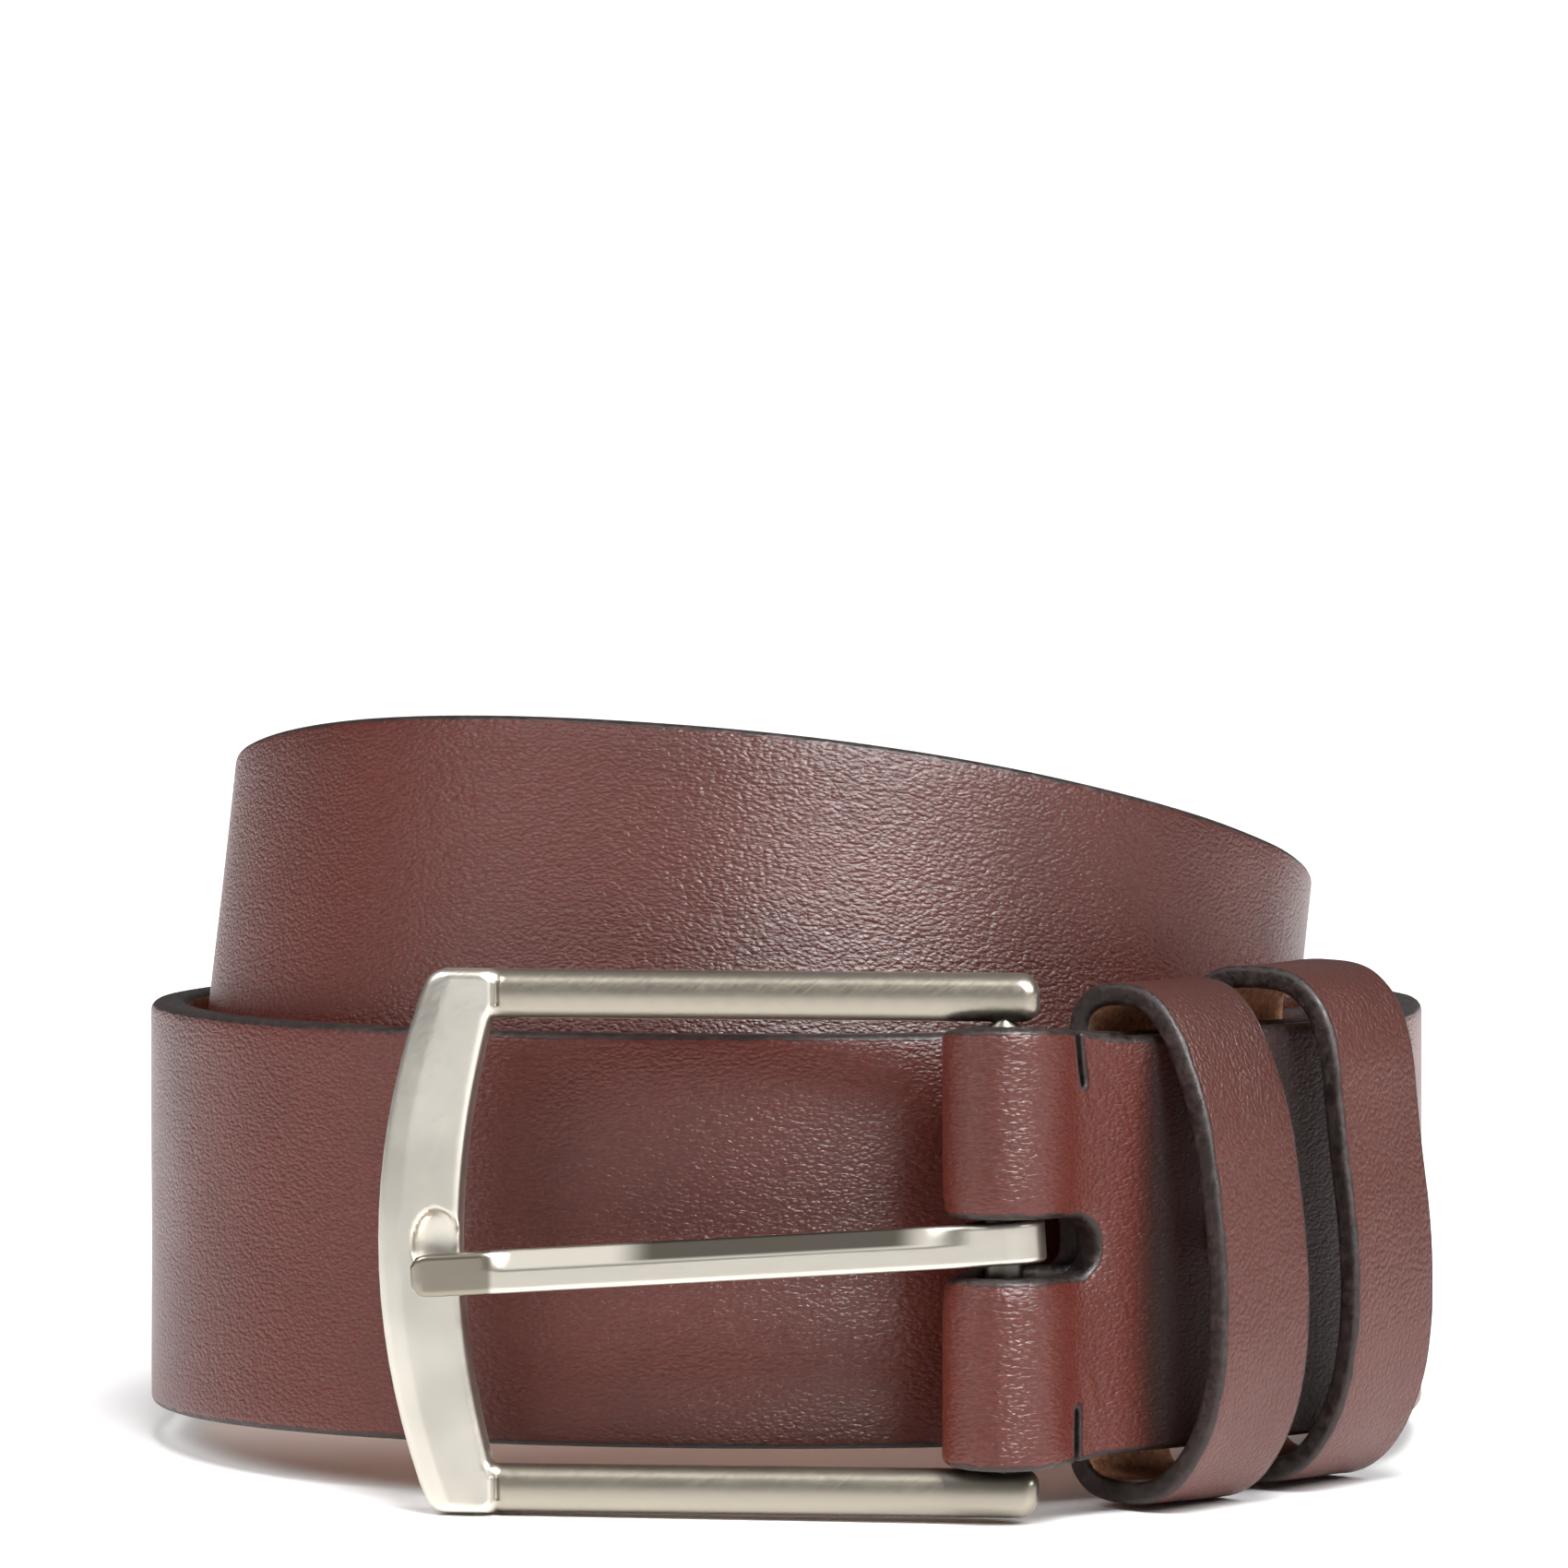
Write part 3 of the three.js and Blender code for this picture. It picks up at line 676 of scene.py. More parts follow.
EDGE_PAINT = (srgb(30, 18, 15), srgb(60, 42, 37))
FLESH = (srgb(178, 116, 84), srgb(228, 172, 134))
DARK_FLESH = srgb(52, 34, 30)
# Painted shade for the strap under the keepers
PAINTED_SHADE_UNDER_KEEPERS = srgb(48, 17, 12)
# Painted shade: the rails' nickel, darker than the end bar's
RAIL_PAINTED_SHADE = srgb(150, 143, 131)


def leather(name, tone, deep, light, grain_stretch, thickness, flesh_from=-9.0, shade_span=None):
    """Smooth full-grain leather: pebbled face, painted edges and a flesh side, tan beyond flesh_from.

    The last argument is the stretch of the strap, start and end, that lies under the keepers: its colour
    there is painted shade, and it is rougher.
    """
    n = Nodes(name)
    sheet = n.attribute("sheet", "Vector")
    rim = n.attribute("rim", "Fac")
    along, _, height = n.split(sheet)
    around = n.millimetres()
    lined = n.stretched(sheet, grain_stretch)

    pebble = n.cells("SMOOTH_F1", Vector=lined, Scale=2.6, Smoothness=0.3)
    fine = n.noise(lined, 4.6, 4.0, 0.66, 0.4)
    crease = n.cells("DISTANCE_TO_EDGE", Vector=n.stretched(sheet, (0.75, 1.7, 1.0)), Scale=1.1)
    wrinkle = n.ramp(crease, 0.0, 0.12)
    patches = n.noise(sheet, 0.055, 3.0, 0.6)
    worn = n.ramp(patches, 0.42, 0.66)
    cloud = n.noise(sheet, 0.021, 2.0, 0.5)

    colour = n.mix(n.ramp(cloud, 0.2, 0.6), deep, tone)
    colour = n.mix(n.math("MULTIPLY", worn, 0.22), colour, light)
    pores = n.ramp(n.math("ADD", pebble, n.math("MULTIPLY", fine, 0.25)), 0.28, 0.72)
    colour = n.mix(n.math("MULTIPLY", pores, 0.42), colour, deep)

    # Painted shade on the strap under the keepers, with a rougher surface there
    if shade_span:
        under_keepers = n.math(
            "MULTIPLY", n.ramp(along, shade_span[0] - 2.6, shade_span[0] + 1.4),
            n.ramp(along, shade_span[1] - 0.6, shade_span[1] + 1.2, 1.0, 0.0),
        )
        colour = n.mix(under_keepers, colour, PAINTED_SHADE_UNDER_KEEPERS)

    speckle = n.noise(around, 1.1, 5.0, 0.7)
    wobble = n.math("MULTIPLY", n.math("SUBTRACT", n.noise(around, 0.45, 2.0), 0.5), 0.55)
    painted_rim = n.math("ADD", rim, wobble)
    paint = n.ramp(painted_rim, 0.34, 0.62, 1.0, 0.0)
    flesh_side = n.ramp(height, -thickness * 0.36, -thickness * 0.24, 1.0, 0.0)

    flesh_noise = n.noise(around, 1.6, 6.0, 0.75)
    flesh = n.mix(n.ramp(flesh_noise, 0.3, 0.72), *FLESH)
    flesh = n.mix(n.ramp(along, flesh_from - 3, flesh_from + 3), DARK_FLESH, flesh)
    edge = n.mix(n.ramp(speckle, 0.40, 0.74), *EDGE_PAINT)
    colour = n.mix(flesh_side, colour, flesh)
    colour = n.mix(paint, colour, edge)

    rough = n.mix_value(worn, 0.29, 0.26)
    rough = n.math("ADD", rough, n.math("MULTIPLY", fine, 0.10))
    if shade_span:
        rough = n.mix_value(under_keepers, rough, 0.55)
    rough = n.mix_value(flesh_side, rough, 0.92)
    rough = n.mix_value(paint, rough, n.ramp(speckle, 0.3, 0.7, 0.34, 0.62))

    grain = n.math("SUBTRACT", n.math("MULTIPLY", wrinkle, 0.16), n.math("MULTIPLY", pebble, 0.8))
    grain = n.math("ADD", grain, n.math("MULTIPLY", fine, 0.5))
    grain = n.mix_value(flesh_side, grain, n.math("MULTIPLY", flesh_noise, 2.2))
    grain = n.mix_value(paint, grain, n.math("MULTIPLY", speckle, 1.1))
    bumped = n.bump(grain, 0.00011, 1.0)
    n.shader.inputs["Specular IOR Level"].default_value = 0.38
    return n.surface(Base_Color=colour, Roughness=rough, Normal=bumped)


def satin_nickel(name, light, dark, shade_from=None):
    """Satin nickel plate with fine diagonal brushing; beyond the given distance along the piece its colour is
    painted shade.
    """
    n = Nodes(name)
    around = n.millimetres()
    turned_grain = n.add("Mapping", None, Vector=around, Rotation=(0.0, math.radians(38), 0.0)).outputs[0]
    brushed = n.noise(n.stretched(turned_grain, (0.35, 1.0, 3.2)), 2.4, 3.0, 0.6)
    cloud = n.noise(around, 0.12, 2.0, 0.5)
    colour = n.mix(n.ramp(cloud, 0.3, 0.7), dark, light)
    rough = n.ramp(n.math("ADD", brushed, n.math("MULTIPLY", cloud, 0.3)), 0.4, 0.9, 0.30, 0.38)
    # Painted shade beyond that distance along the piece
    if shade_from is not None:
        along = n.split(n.attribute("sheet", "Vector"))[0]
        beyond = n.ramp(along, shade_from - 0.3, shade_from + 0.6)
        colour = n.mix(beyond, colour, RAIL_PAINTED_SHADE)
    bumped = n.bump(brushed, 0.000007, 0.6)
    n.shader.inputs["Metallic"].default_value = 1.0
    return n.surface(Base_Color=colour, Roughness=rough, Normal=bumped)


def prong_nickel():
    """The prong's plate, with painted reflections: a darker tip, a bright first third, and painted shade on
    the upper facet along the shank.
    """
    n = Nodes("prong_nickel")
    across, up, _ = n.split(n.attribute("sheet", "Vector"))
    level = n.math("SUBTRACT", up, n.math("MULTIPLY", across, math.tan(PRONG_DROOP)))
    upper = n.ramp(level, PRONG_RISE + 0.15, PRONG_RISE + 0.5)
    shank = n.math("MULTIPLY", n.ramp(across, -33.0, -29.0), n.ramp(across, -9.0, -5.5, 1.0, 0.0))
    tip = n.ramp(across, -43.2, -42.6, 1.0, 0.0)
    # Painted reflections: the tip darker than the rest, and painted shade on the shank's upper facet
    colour = n.mix(tip, srgb(200, 194, 183), srgb(138, 131, 118))
    colour = n.mix(n.math("MULTIPLY", shank, upper), colour, srgb(84, 79, 72))
    n.shader.inputs["Metallic"].default_value = 1.0
    return n.surface(Base_Color=colour, Roughness=0.3)


def waxed_thread():
    n = Nodes("waxed_thread")
    around = n.millimetres()
    twist = n.add(
        "TexWave", {"wave_type": "BANDS", "bands_direction": "DIAGONAL"}, Vector=around, Scale=1.1,
        Distortion=0.8,
    ).outputs[1]
    colour = n.mix(twist, srgb(56, 34, 31), srgb(96, 62, 56))
    bumped = n.bump(twist, 0.00012, 0.8)
    return n.surface(Base_Color=colour, Roughness=0.62, Normal=bumped)


# ---- The strap ----

strap = strap_ribbon()
level_length = strap.nearest(coil_station(BACK_OF_FIRST_TURN)[0])
finely_until = level_length * 0.3


def on_strap(x, y, low, high):
    """Distance along the strap of its point nearest to a plan position on the level coil."""
    return strap.nearest(lean_point(x, y, MID_WIDTH), low, high)


fold_middle = on_strap(*FOLD_FRONT, 0, FOLD_WITHIN)
slot_start = on_strap(*SLOT_BACK_END, 0, fold_middle)
slot_end = on_strap(*SLOT_FRONT_END, fold_middle, FOLD_WITHIN) + SLOT_HALF_HEIGHT
notch_at = on_strap(*NOTCH, fold_middle, FOLD_WITHIN)


def on_both_layers(x, y):
    """Distances along the strap of a plan position in its turned-back layer and in the outer one."""
    return [on_strap(x, y, 0, fold_middle), on_strap(x, y, fold_middle, level_length)]


keepers_reach = (
    on_both_layers(*FIXED_KEEPER["point"])[1] - KEEPER_WIDTH / 2,
    on_both_layers(*SLIDING_KEEPER["point"])[1] + KEEPER_WIDTH / 2,
)
rivet_heading = math.radians(FIXED_KEEPER["heading"])
rivet_stops = on_both_layers(
    FIXED_KEEPER["point"][0] + RIVET_OFFSET * math.cos(rivet_heading),
    FIXED_KEEPER["point"][1] + RIVET_OFFSET * math.sin(rivet_heading),
)
stitch_stops = on_both_layers(*STITCH_ROW["point"])


def tip_half_width(to_tip):
    left = min(1.0, to_tip / TIP_TAPER)
    return (TIP_WIDTH + (STRAP_WIDTH - TIP_WIDTH) * math.sqrt(1 - (1 - left) ** 2)) / 2


def strap_outline():
    """The cut shape of the strap, counter-clockwise: notched edges, round tip, square turned-back end."""
    half = MID_WIDTH
    deep = half - NOTCH_DEPTH
    wide, narrow = NOTCH_HALF_WIDTH, NOTCH_HALF_WIDTH * 0.8
    low_notch = [
        (notch_at - wide, -half, 0.35), (notch_at - narrow, -deep, 0.25),
        (notch_at + narrow, -deep, 0.25), (notch_at + wide, -half, 0.35),
    ]
    slanted = notch_at + NOTCH_SLANT
    high_notch = [
        (notch_at + wide, half, 0.35), (slanted + narrow, deep, 0.25),
        (slanted - narrow, deep, 0.25), (notch_at - wide, half, 0.35),
    ]
    tips = [strap.length - TIP_TAPER * (1 - math.sin(math.pi / 2 * k / 14)) for k in range(15)]
    low_tip = [(s, -tip_half_width(strap.length - s), 0) for s in tips[:-1]]
    high_tip = [(s, tip_half_width(strap.length - s), 0) for s in reversed(tips[:-1])]
    blunt = [(strap.length, -TIP_WIDTH / 2, 1.2), (strap.length, TIP_WIDTH / 2, 1.2)]
    corners = [(0, -half, 2.5), *low_notch, *low_tip, *blunt, *high_tip, *high_notch, (0, half, 2.5)]
    return rounded(corners, 0.18)


def slot_outline():
    """The prong's slot, clockwise: a long hole over the fold with round ends."""
    high = SLOT_HALF_HEIGHT
    corners = [
        (slot_start, high, high * 0.7), (slot_end, high, high * 0.95),
        (slot_end, -high, high * 0.95), (slot_start, -high, high * 0.7),
    ]
    return rounded(corners, 0.3)


def strap_step(s, v):
    """How closely the strap's edge is divided: fine at the fold, coarse round the coil."""
    if abs(s - notch_at) < 3 and abs(v) > 12:
        return 0.22
    if s < finely_until:
        return 0.7
    return 1.0 if s > strap.length - TIP_TAPER * 1.2 else 1.8


def strap_edge_radius(s, v):
    """How round the edge is: full along the strap, tight in the notches and round the small holes."""
    if abs(v) < SLOT_HALF_HEIGHT + 0.1 and slot_start - 0.1 < s < slot_end + 0.1:
        return SLOT_EDGE_RADIUS
    if abs(v) < 13 and s < strap.length - TIP_TAPER - 4:
        return HOLE_EDGE_RADIUS
    near_notch = hump(notch_at + 0.3, 3.2, s) * smoothstep(11.5, 12.5, abs(v))
    tightened = min(1.0, near_notch * 1.4)
    return STRAP_EDGE_RADIUS - (STRAP_EDGE_RADIUS - NOTCH_EDGE_RADIUS) * tightened


def strap_inside():
    """Points for filling the strap's faces, each with how far it must stay from an edge."""
    points = []
    s = 0.6
    while s < strap.length - 0.5:
        fine = s < finely_until
        keep = 0.35 if fine else 0.8
        rows = int(STRAP_WIDTH / (1.0 if fine else 2.4))
        near_tip = s > strap.length - TIP_TAPER
        for k in range(rows + 1):
            v = -MID_WIDTH + 0.9 + (STRAP_WIDTH - 1.8) * k / rows
            if near_tip and abs(v) > tip_half_width(strap.length - s) - 0.8:
                continue
            points.append((s, v, keep))
        s += 0.7 if fine else 2.0
    return points


def strap_relief(s, v, side):
    """Slow waves in the leather, creases by the notches and the slot's drawn-in lips."""
    lift = noise.noise(Vector((s * 0.045, v * 0.03, 3.7))) * 0.11
    lift += noise.noise(Vector((s * 0.16, v * 0.09, 9.1))) * 0.035
    if s >= finely_until or side <= 0:
        return lift
    from_notch = math.hypot((s - notch_at) * 0.8, abs(v) - 12.6)
    folds = math.sin((s - notch_at) * 3.1 + v * 0.9) * 0.10
    lift += folds * hump(0, 4.5, from_notch) * smoothstep(notch_at - 0.5, notch_at + 1.5, s)
    near_slot = hump(0, 2.4, max(0.0, abs(v) - SLOT_HALF_HEIGHT))
    near_slot *= smoothstep(slot_end + 2, slot_end - 3, s)
    return lift - 0.28 * near_slot * smoothstep(slot_start, slot_start + 4, s)


def strap_at(points):
    """Points of the strap in space. It spreads a little towards both rails where it wraps the bar."""
    points = np.array(points, dtype=float)
    past_fold = points[:, 0] - fold_middle
    near_bar = np.clip(1 - np.abs(past_fold) / FOLD_REACH, 0, 1)
    upper_share = points[:, 1] / STRAP_WIDTH + 0.5
    spread = FOLD_RISE * upper_share - FOLD_DROP * (1 - upper_share)
    points[:, 1] += np.sin(near_bar * math.pi / 2) ** 2 * spread
    behind = np.clip((-FOLD_BACK_FROM - past_fold) / 3.5, 0, 1)
    fading = np.clip((past_fold + FOLD_BACK_UNTIL) / 12, 0, 1)
    points[:, 1] += FOLD_BACK_RISE * behind * fading
    return strap(points)


def make_strap():
    loops = [resampled(strap_outline(), strap_step), resampled(slot_outline(), lambda s, v: 0.45)]
    loops += [circle(stop, 0, RIVET_SHANK + CLEARANCE, 28) for stop in rivet_stops]
    for stop in stitch_stops:
        loops += [circle(stop, v, THREAD_RADIUS + 0.2, 14) for v in STITCH_HEIGHTS]
    for i in range(HOLE_COUNT):
        loops.append(circle(strap.length - FIRST_HOLE - i * HOLE_PITCH, 0, HOLE_RADIUS, 28))
    return sheet_mesh(
        "belt_strap", strap_at, loops, STRAP_THICKNESS, strap_edge_radius, strap_inside(), 4, strap_relief,
    )


# ---- Keepers ----


def keeper_path(place, joint, squareness):
    """The loop's middle line, from one side of its joint at the back round to the other."""
    kept = [(n, v) for n, v in KEEPER_LOOP if n > KEEPER_BACK or abs(v - joint) > 4]
    first = next(i for i, (n, v) in enumerate(kept) if n < -6 and v > joint)
    gap = KEEPER_JOINT_GAP / 2
    loop = [(KEEPER_BACK, joint + gap), *kept[first:], *kept[:first], (KEEPER_BACK, joint - gap)]
    path = []
    for n, v in loop:
        squared = squareness * (0.2 + 0.8 * smoothstep(7, 19, v)) * smoothstep(-5.5, -1, n)
        path.append((0, v, n + squared))
    return place(path)


def make_keeper(name, keeper, riveted):
    """A leather loop whose two ends butt at the back of the strap."""
    place = strap_place(**keeper)
    points = keeper_path(place, keeper["joint"], 0.0 if riveted else LOOSE_KEEPER_SQUARENESS)
    ribbon = Ribbon(points, [place.axes[0]] * len(points))
    half = KEEPER_WIDTH / 2
    corners = [(0, -half, 0.9), (ribbon.length, -half, 0.9), (ribbon.length, half, 0.9), (0, half, 0.9)]
    loops = [resampled(rounded(corners, 0.15), lambda s, v: 0.5)]
    if riveted:
        rivet_at = ribbon.nearest(place([(0, 0, KEEPER_BACK)])[0], ribbon.length * 0.5)
        loops.append(circle(rivet_at, RIVET_OFFSET, RIVET_CAP + 0.1, 40))
    inside = []
    for i in range(int(ribbon.length / 0.6)):
        inside += [(0.5 + i * 0.6, -half + 0.7 + k * (KEEPER_WIDTH - 1.4) / 16, 0.3) for k in range(17)]
    seed = 20 if riveted else 50

    def relief(s, v, side):
        wave = noise.noise(Vector((s * 0.10, v * 0.16, seed))) * 0.12
        return wave + noise.noise(Vector((s * 0.45, v * 0.5, seed + 5))) * 0.03

    def radius_of(s, v):
        if not riveted or v < 0:
            return KEEPER_EDGE_RADIUS
        beside_rivet = smoothstep(RIVET_CAP + 0.3, RIVET_CAP + 2.5, abs(s - rivet_at))
        return RIVET_SEAT_RADIUS + (KEEPER_EDGE_RADIUS - RIVET_SEAT_RADIUS) * beside_rivet

    return sheet_mesh(name, ribbon, loops, KEEPER_THICKNESS, radius_of, inside, 4, relief)


def softened(corners, bend):
    """A path through the corners with each inner corner replaced by a short curve."""
    corners = np.array(corners, dtype=float)
    path = [corners[0]]
    for before, corner, after in zip(corners, corners[1:], corners[2:]):
        start = corner + unit(before - corner) * bend
        end = corner + unit(after - corner) * bend
        for t in (0, 0.25, 0.5, 0.75, 1):
            path.append(start * (1 - t) ** 2 + corner * 2 * t * (1 - t) + end * t * t)
    path.append(corners[-1])
    return np.array(path)


def staple_path(joint):
    """The wire across the keeper's joint: a crown on the back and two legs into the leather."""
    crown = KEEPER_BACK - KEEPER_THICKNESS / 2 + STAPLE_WIRE
    tip = crown + STAPLE_LEG
    high, low = joint + STAPLE_SPAN / 2, joint - STAPLE_SPAN / 2
    return softened([(0, high, tip), (0, high, crown), (0, low, crown), (0, low, tip)], 0.4)


def stitch_path():
    """The thread up through both layers and along them, one running stitch after another."""
    front = STRAP_THICKNESS / 2 + CLEARANCE + THREAD_RADIUS
    back = -STRAP_THICKNESS / 2 - LAYER_PITCH - CLEARANCE - THREAD_RADIUS
    corners = []
    for i, v in enumerate(STITCH_HEIGHTS):
        ends = (front, back) if i % 2 else (back, front)
        corners += [(0, v, n) for n in ends]
    return softened(corners, 0.55)


def rivet_post():
    """The post's profile, (radius, z), from its hollowed tip to its domed head."""
    seat = STRAP_THICKNESS / 2 + RIVET_HEAD_LIFT
    tip = CAP_SEAT - RIVET_HEAD_THICKNESS + CLEARANCE
    top = seat + RIVET_HEAD_THICKNESS
    return [
        (RIVET_SHANK * 0.7, tip), (RIVET_SHANK, tip + 0.2), (RIVET_SHANK, seat), (RIVET_HEAD, seat),
        (RIVET_HEAD, seat + 0.3), (RIVET_HEAD * 0.85, top - 0.2), (RIVET_HEAD * 0.5, top), (0.05, top + 0.02),
    ]


def rivet_cap():
    """The cap's profile, (radius, z), sunk in the keeper's back."""
    back = CAP_SEAT - RIVET_HEAD_THICKNESS
    return [
        (0.05, back - 0.02), (RIVET_CAP * 0.5, back), (RIVET_CAP * 0.85, back + 0.2), (RIVET_CAP, back + 0.5),
        (RIVET_CAP, CAP_SEAT), (0.05, CAP_SEAT),
    ]


# ---- Buckle and prong ----


def bow(corner, middle, high):
    """A bowed edge as sharp (x, y, 0) corners, from its low end to its high end."""
    y = np.linspace(-high, high, 19)
    return [(corner + (middle - corner) * (1 - (b / high) ** 2), b, 0) for b in y]


def buckle_outline():
    outer = bow(END_CORNER, END_MIDDLE, RAIL_OUTER)[1:-1]
    inner = bow(INSIDE_CORNER, INSIDE_MIDDLE, RAIL_INNER)[1:-1]
    corners = [
        (INSIDE_CORNER, RAIL_INNER, 0.45), (RAIL_END, RAIL_INNER, 1.35), (RAIL_END, RAIL_OUTER, 1.7),
        (END_CORNER + 0.1, RAIL_OUTER, 1.9), *reversed(outer), (END_CORNER + 0.1, -RAIL_OUTER, 1.9),
        (RAIL_END, -RAIL_OUTER, 1.7), (RAIL_END, -RAIL_INNER, 1.35), (INSIDE_CORNER, -RAIL_INNER, 0.45),
        *inner,
    ]
    return rounded(corners, 0.15)


def buckle_relief(x, y, side):
    """The end bar's bevelled left edge, its raised face, the notch where the rails start, the scoop."""
    if side < 0.05:
        return 0.0
    lift = 0.0
    outer_edge = END_CORNER + (END_MIDDLE - END_CORNER) * (1 - (y / RAIL_OUTER) ** 2)
    if x < STEP_AT + 1:
        lift -= BEVEL_DEPTH * max(0.0, 1 - (x - outer_edge) / BEVEL_WIDTH) * side
    groove = hump(STEP_AT + 0.35, GROOVE_HALF_WIDTH, x)
    lift -= GROOVE_DEPTH * groove * smoothstep(RAIL_INNER - 0.2, RAIL_INNER + 0.8, abs(y))
    on_rail = smoothstep(STEP_AT - 0.1, STEP_AT + 0.4, x)
    from_rail_middle = (abs(y) - (RAIL_INNER + RAIL_OUTER) / 2) / (RAIL_OUTER - RAIL_INNER) * 2
    lift -= on_rail * (RAIL_DROP + RAIL_DOME * from_rail_middle ** 2)
    u = (x - SCOOP[0]) / SCOOP_HALF_WIDTH
    w = (y - SCOOP[1]) / SCOOP_HALF_HEIGHT
    bowl = max(0.0, 1 - (u * u + w * w))
    return lift - SCOOP_DEPTH * math.sqrt(bowl) * smoothstep(0.0, 0.12, bowl)


def buckle_inside():
    """Points for filling the frame's faces: close on the end bar, wider along the rails."""
    points = []
    x = END_MIDDLE + 0.5
    while x < RAIL_END:
        near_end = x < INSIDE_CORNER + 2.5
        at_step = abs(x - STEP_AT) < 1.6
        y = -RAIL_OUTER
        while y < RAIL_OUTER:
            if near_end or abs(y) > RAIL_INNER:
                points.append((x, y, 0.16 if near_end else 0.3))
            at_scoop = near_end and abs(y) < 4
            y += 0.22 if at_scoop or (at_step and abs(y) > RAIL_INNER - 0.5) else 0.5
        x += 0.22 if near_end else 0.8
    return points


def make_buckle():
    def edge_radius(x, y):
        return 0.65 + 0.4 * smoothstep(STEP_AT - 1.5, STEP_AT + 1.5, x)

    def step(x, y):
        return 0.3 if x < STEP_AT + 2 else 0.6

    loops = [resampled(buckle_outline(), step)]
    return sheet_mesh(
        "buckle_body", buckle_place(), loops, BUCKLE_THICKNESS, edge_radius, buckle_inside(), 5,
        buckle_relief,
    )


def prong_section(half_height, half_depth, ridge):
    """Section of the prong, (height, depth): rounded edges, upper facet sloping back from a ridge."""
    r = 0.42
    corners = [
        (-half_height, -half_depth, r), (-half_height, half_depth, r), (0.10 * half_height, half_depth, 0.0),
        (half_height, half_depth - 0.95 * ridge, r * (1 - 0.4 * ridge)), (half_height, -half_depth, r),
    ]
    return rounded(corners, 0.01)


def even_loop(loop, count):
    """A closed outline with the given number of evenly spaced points, starting at its first point."""
    closed = np.vstack([loop, loop[:1]])
    run = path_distances(closed)
    at = np.linspace(0, run[-1], count, endpoint=False)
    return np.stack([np.interp(at, run, closed[:, k]) for k in range(2)], axis=1)


def prong_path():
    """Stations along the prong, (x, n, thickness, ridge): round the bar, then out along the shank."""
    ring_middle = (PRONG_RING_OUTER + BAR_RADIUS + CLEARANCE) / 2
    ring_thickness = PRONG_RING_OUTER - BAR_RADIUS - CLEARANCE
    path = []
    for degrees in np.linspace(PRONG_RING_FROM, 90, 60):
        a = math.radians(degrees)
        path.append((ring_middle * math.cos(a), ring_middle * math.sin(a), ring_thickness, 0.0))
    for out in np.linspace(1.2, PRONG_LENGTH, 90):
        ridge = smoothstep(2.2, 6.5, out) * (1 - smoothstep(41.5, 43.5, out))
        path.append((-out, value_at(PRONG_MIDDLE, out), value_at(PRONG_THICKNESS, out), ridge))
    return np.array(path)


def make_prong():
    """The prong: a flat strip bent into a ring round the bar, with a ridged shank and a blunt tip."""
    path = prong_path()
    centre = path[:, :2]
    tangents = unit(np.gradient(centre, path_distances(centre), axis=0))
    c, s = math.cos(PRONG_DROOP), math.sin(PRONG_DROOP)
    rings = []
    for (x, n, thick, ridge), (tx, tn) in zip(path, tangents):
        to_tip = PRONG_LENGTH + x
        shrink = math.sqrt(max(0.0, 1 - (1 - min(1.0, to_tip / 1.5)) ** 2))
        half_height = PRONG_WIDTH / 2 * (0.50 + 0.50 * shrink)
        half_depth = thick / 2 * (0.66 + 0.34 * shrink)
        ring = []
        for v, d in even_loop(prong_section(half_height, half_depth, ridge), 72):
            px = x + tn * d
            ring.append((px * c - v * s, px * s + v * c + PRONG_RISE, n - tx * d))
        rings.append(ring)
    return tube_mesh("prong_body", buckle_place(), rings)


def bar_profile():
    """The bar's profile, (radius, z): full between the rails, with thin ends inside them."""
    half = RAIL_INNER + PIN_DEPTH - CLEARANCE
    return [
        (PIN_RADIUS, -half), (PIN_RADIUS, -RAIL_INNER - 0.1), (BAR_RADIUS, -RAIL_INNER + 0.5),
        (BAR_RADIUS, RAIL_INNER - 0.5), (PIN_RADIUS, RAIL_INNER + 0.1), (PIN_RADIUS, half),
    ]


# ---- The pieces ----

strap_leather = leather(
    "strap_leather", srgb(96, 38, 28), srgb(70, 28, 21), srgb(108, 49, 38), (0.75, 1.2, 1.0), STRAP_THICKNESS,
    slot_end + 6, keepers_reach,
)
keeper_leather = leather(
    "keeper_leather", srgb(90, 41, 32), srgb(69, 32, 25), srgb(104, 52, 42), (0.9, 1.0, 1.0),
    KEEPER_THICKNESS,
)
nickel = satin_nickel("satin_nickel", srgb(196, 190, 179), srgb(180, 174, 163))
# The rails are painted darker than the end bar, as shade
buckle_nickel = satin_nickel("buckle_nickel", srgb(201, 196, 186), srgb(186, 181, 171), STEP_AT)
# The bar's nickel is painted dark, as shade
shaded_steel = satin_nickel("shaded_steel", srgb(92, 88, 82), srgb(78, 75, 70))
thread = waxed_thread()


def finish_piece(piece, body, slot, material, *nodes):
    """Gives a piece its material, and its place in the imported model."""
    piece.data.materials.append(material)
    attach(piece, body)
    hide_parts(*nodes)


buckle = buckle_place()
bar_place = Place(buckle.origin, buckle.axes[0], -buckle.axes[2], buckle.axes[1])
rivet = strap_place(**FIXED_KEEPER)
rivet = Place(rivet([(RIVET_OFFSET, 0, 0)])[0], *rivet.axes)

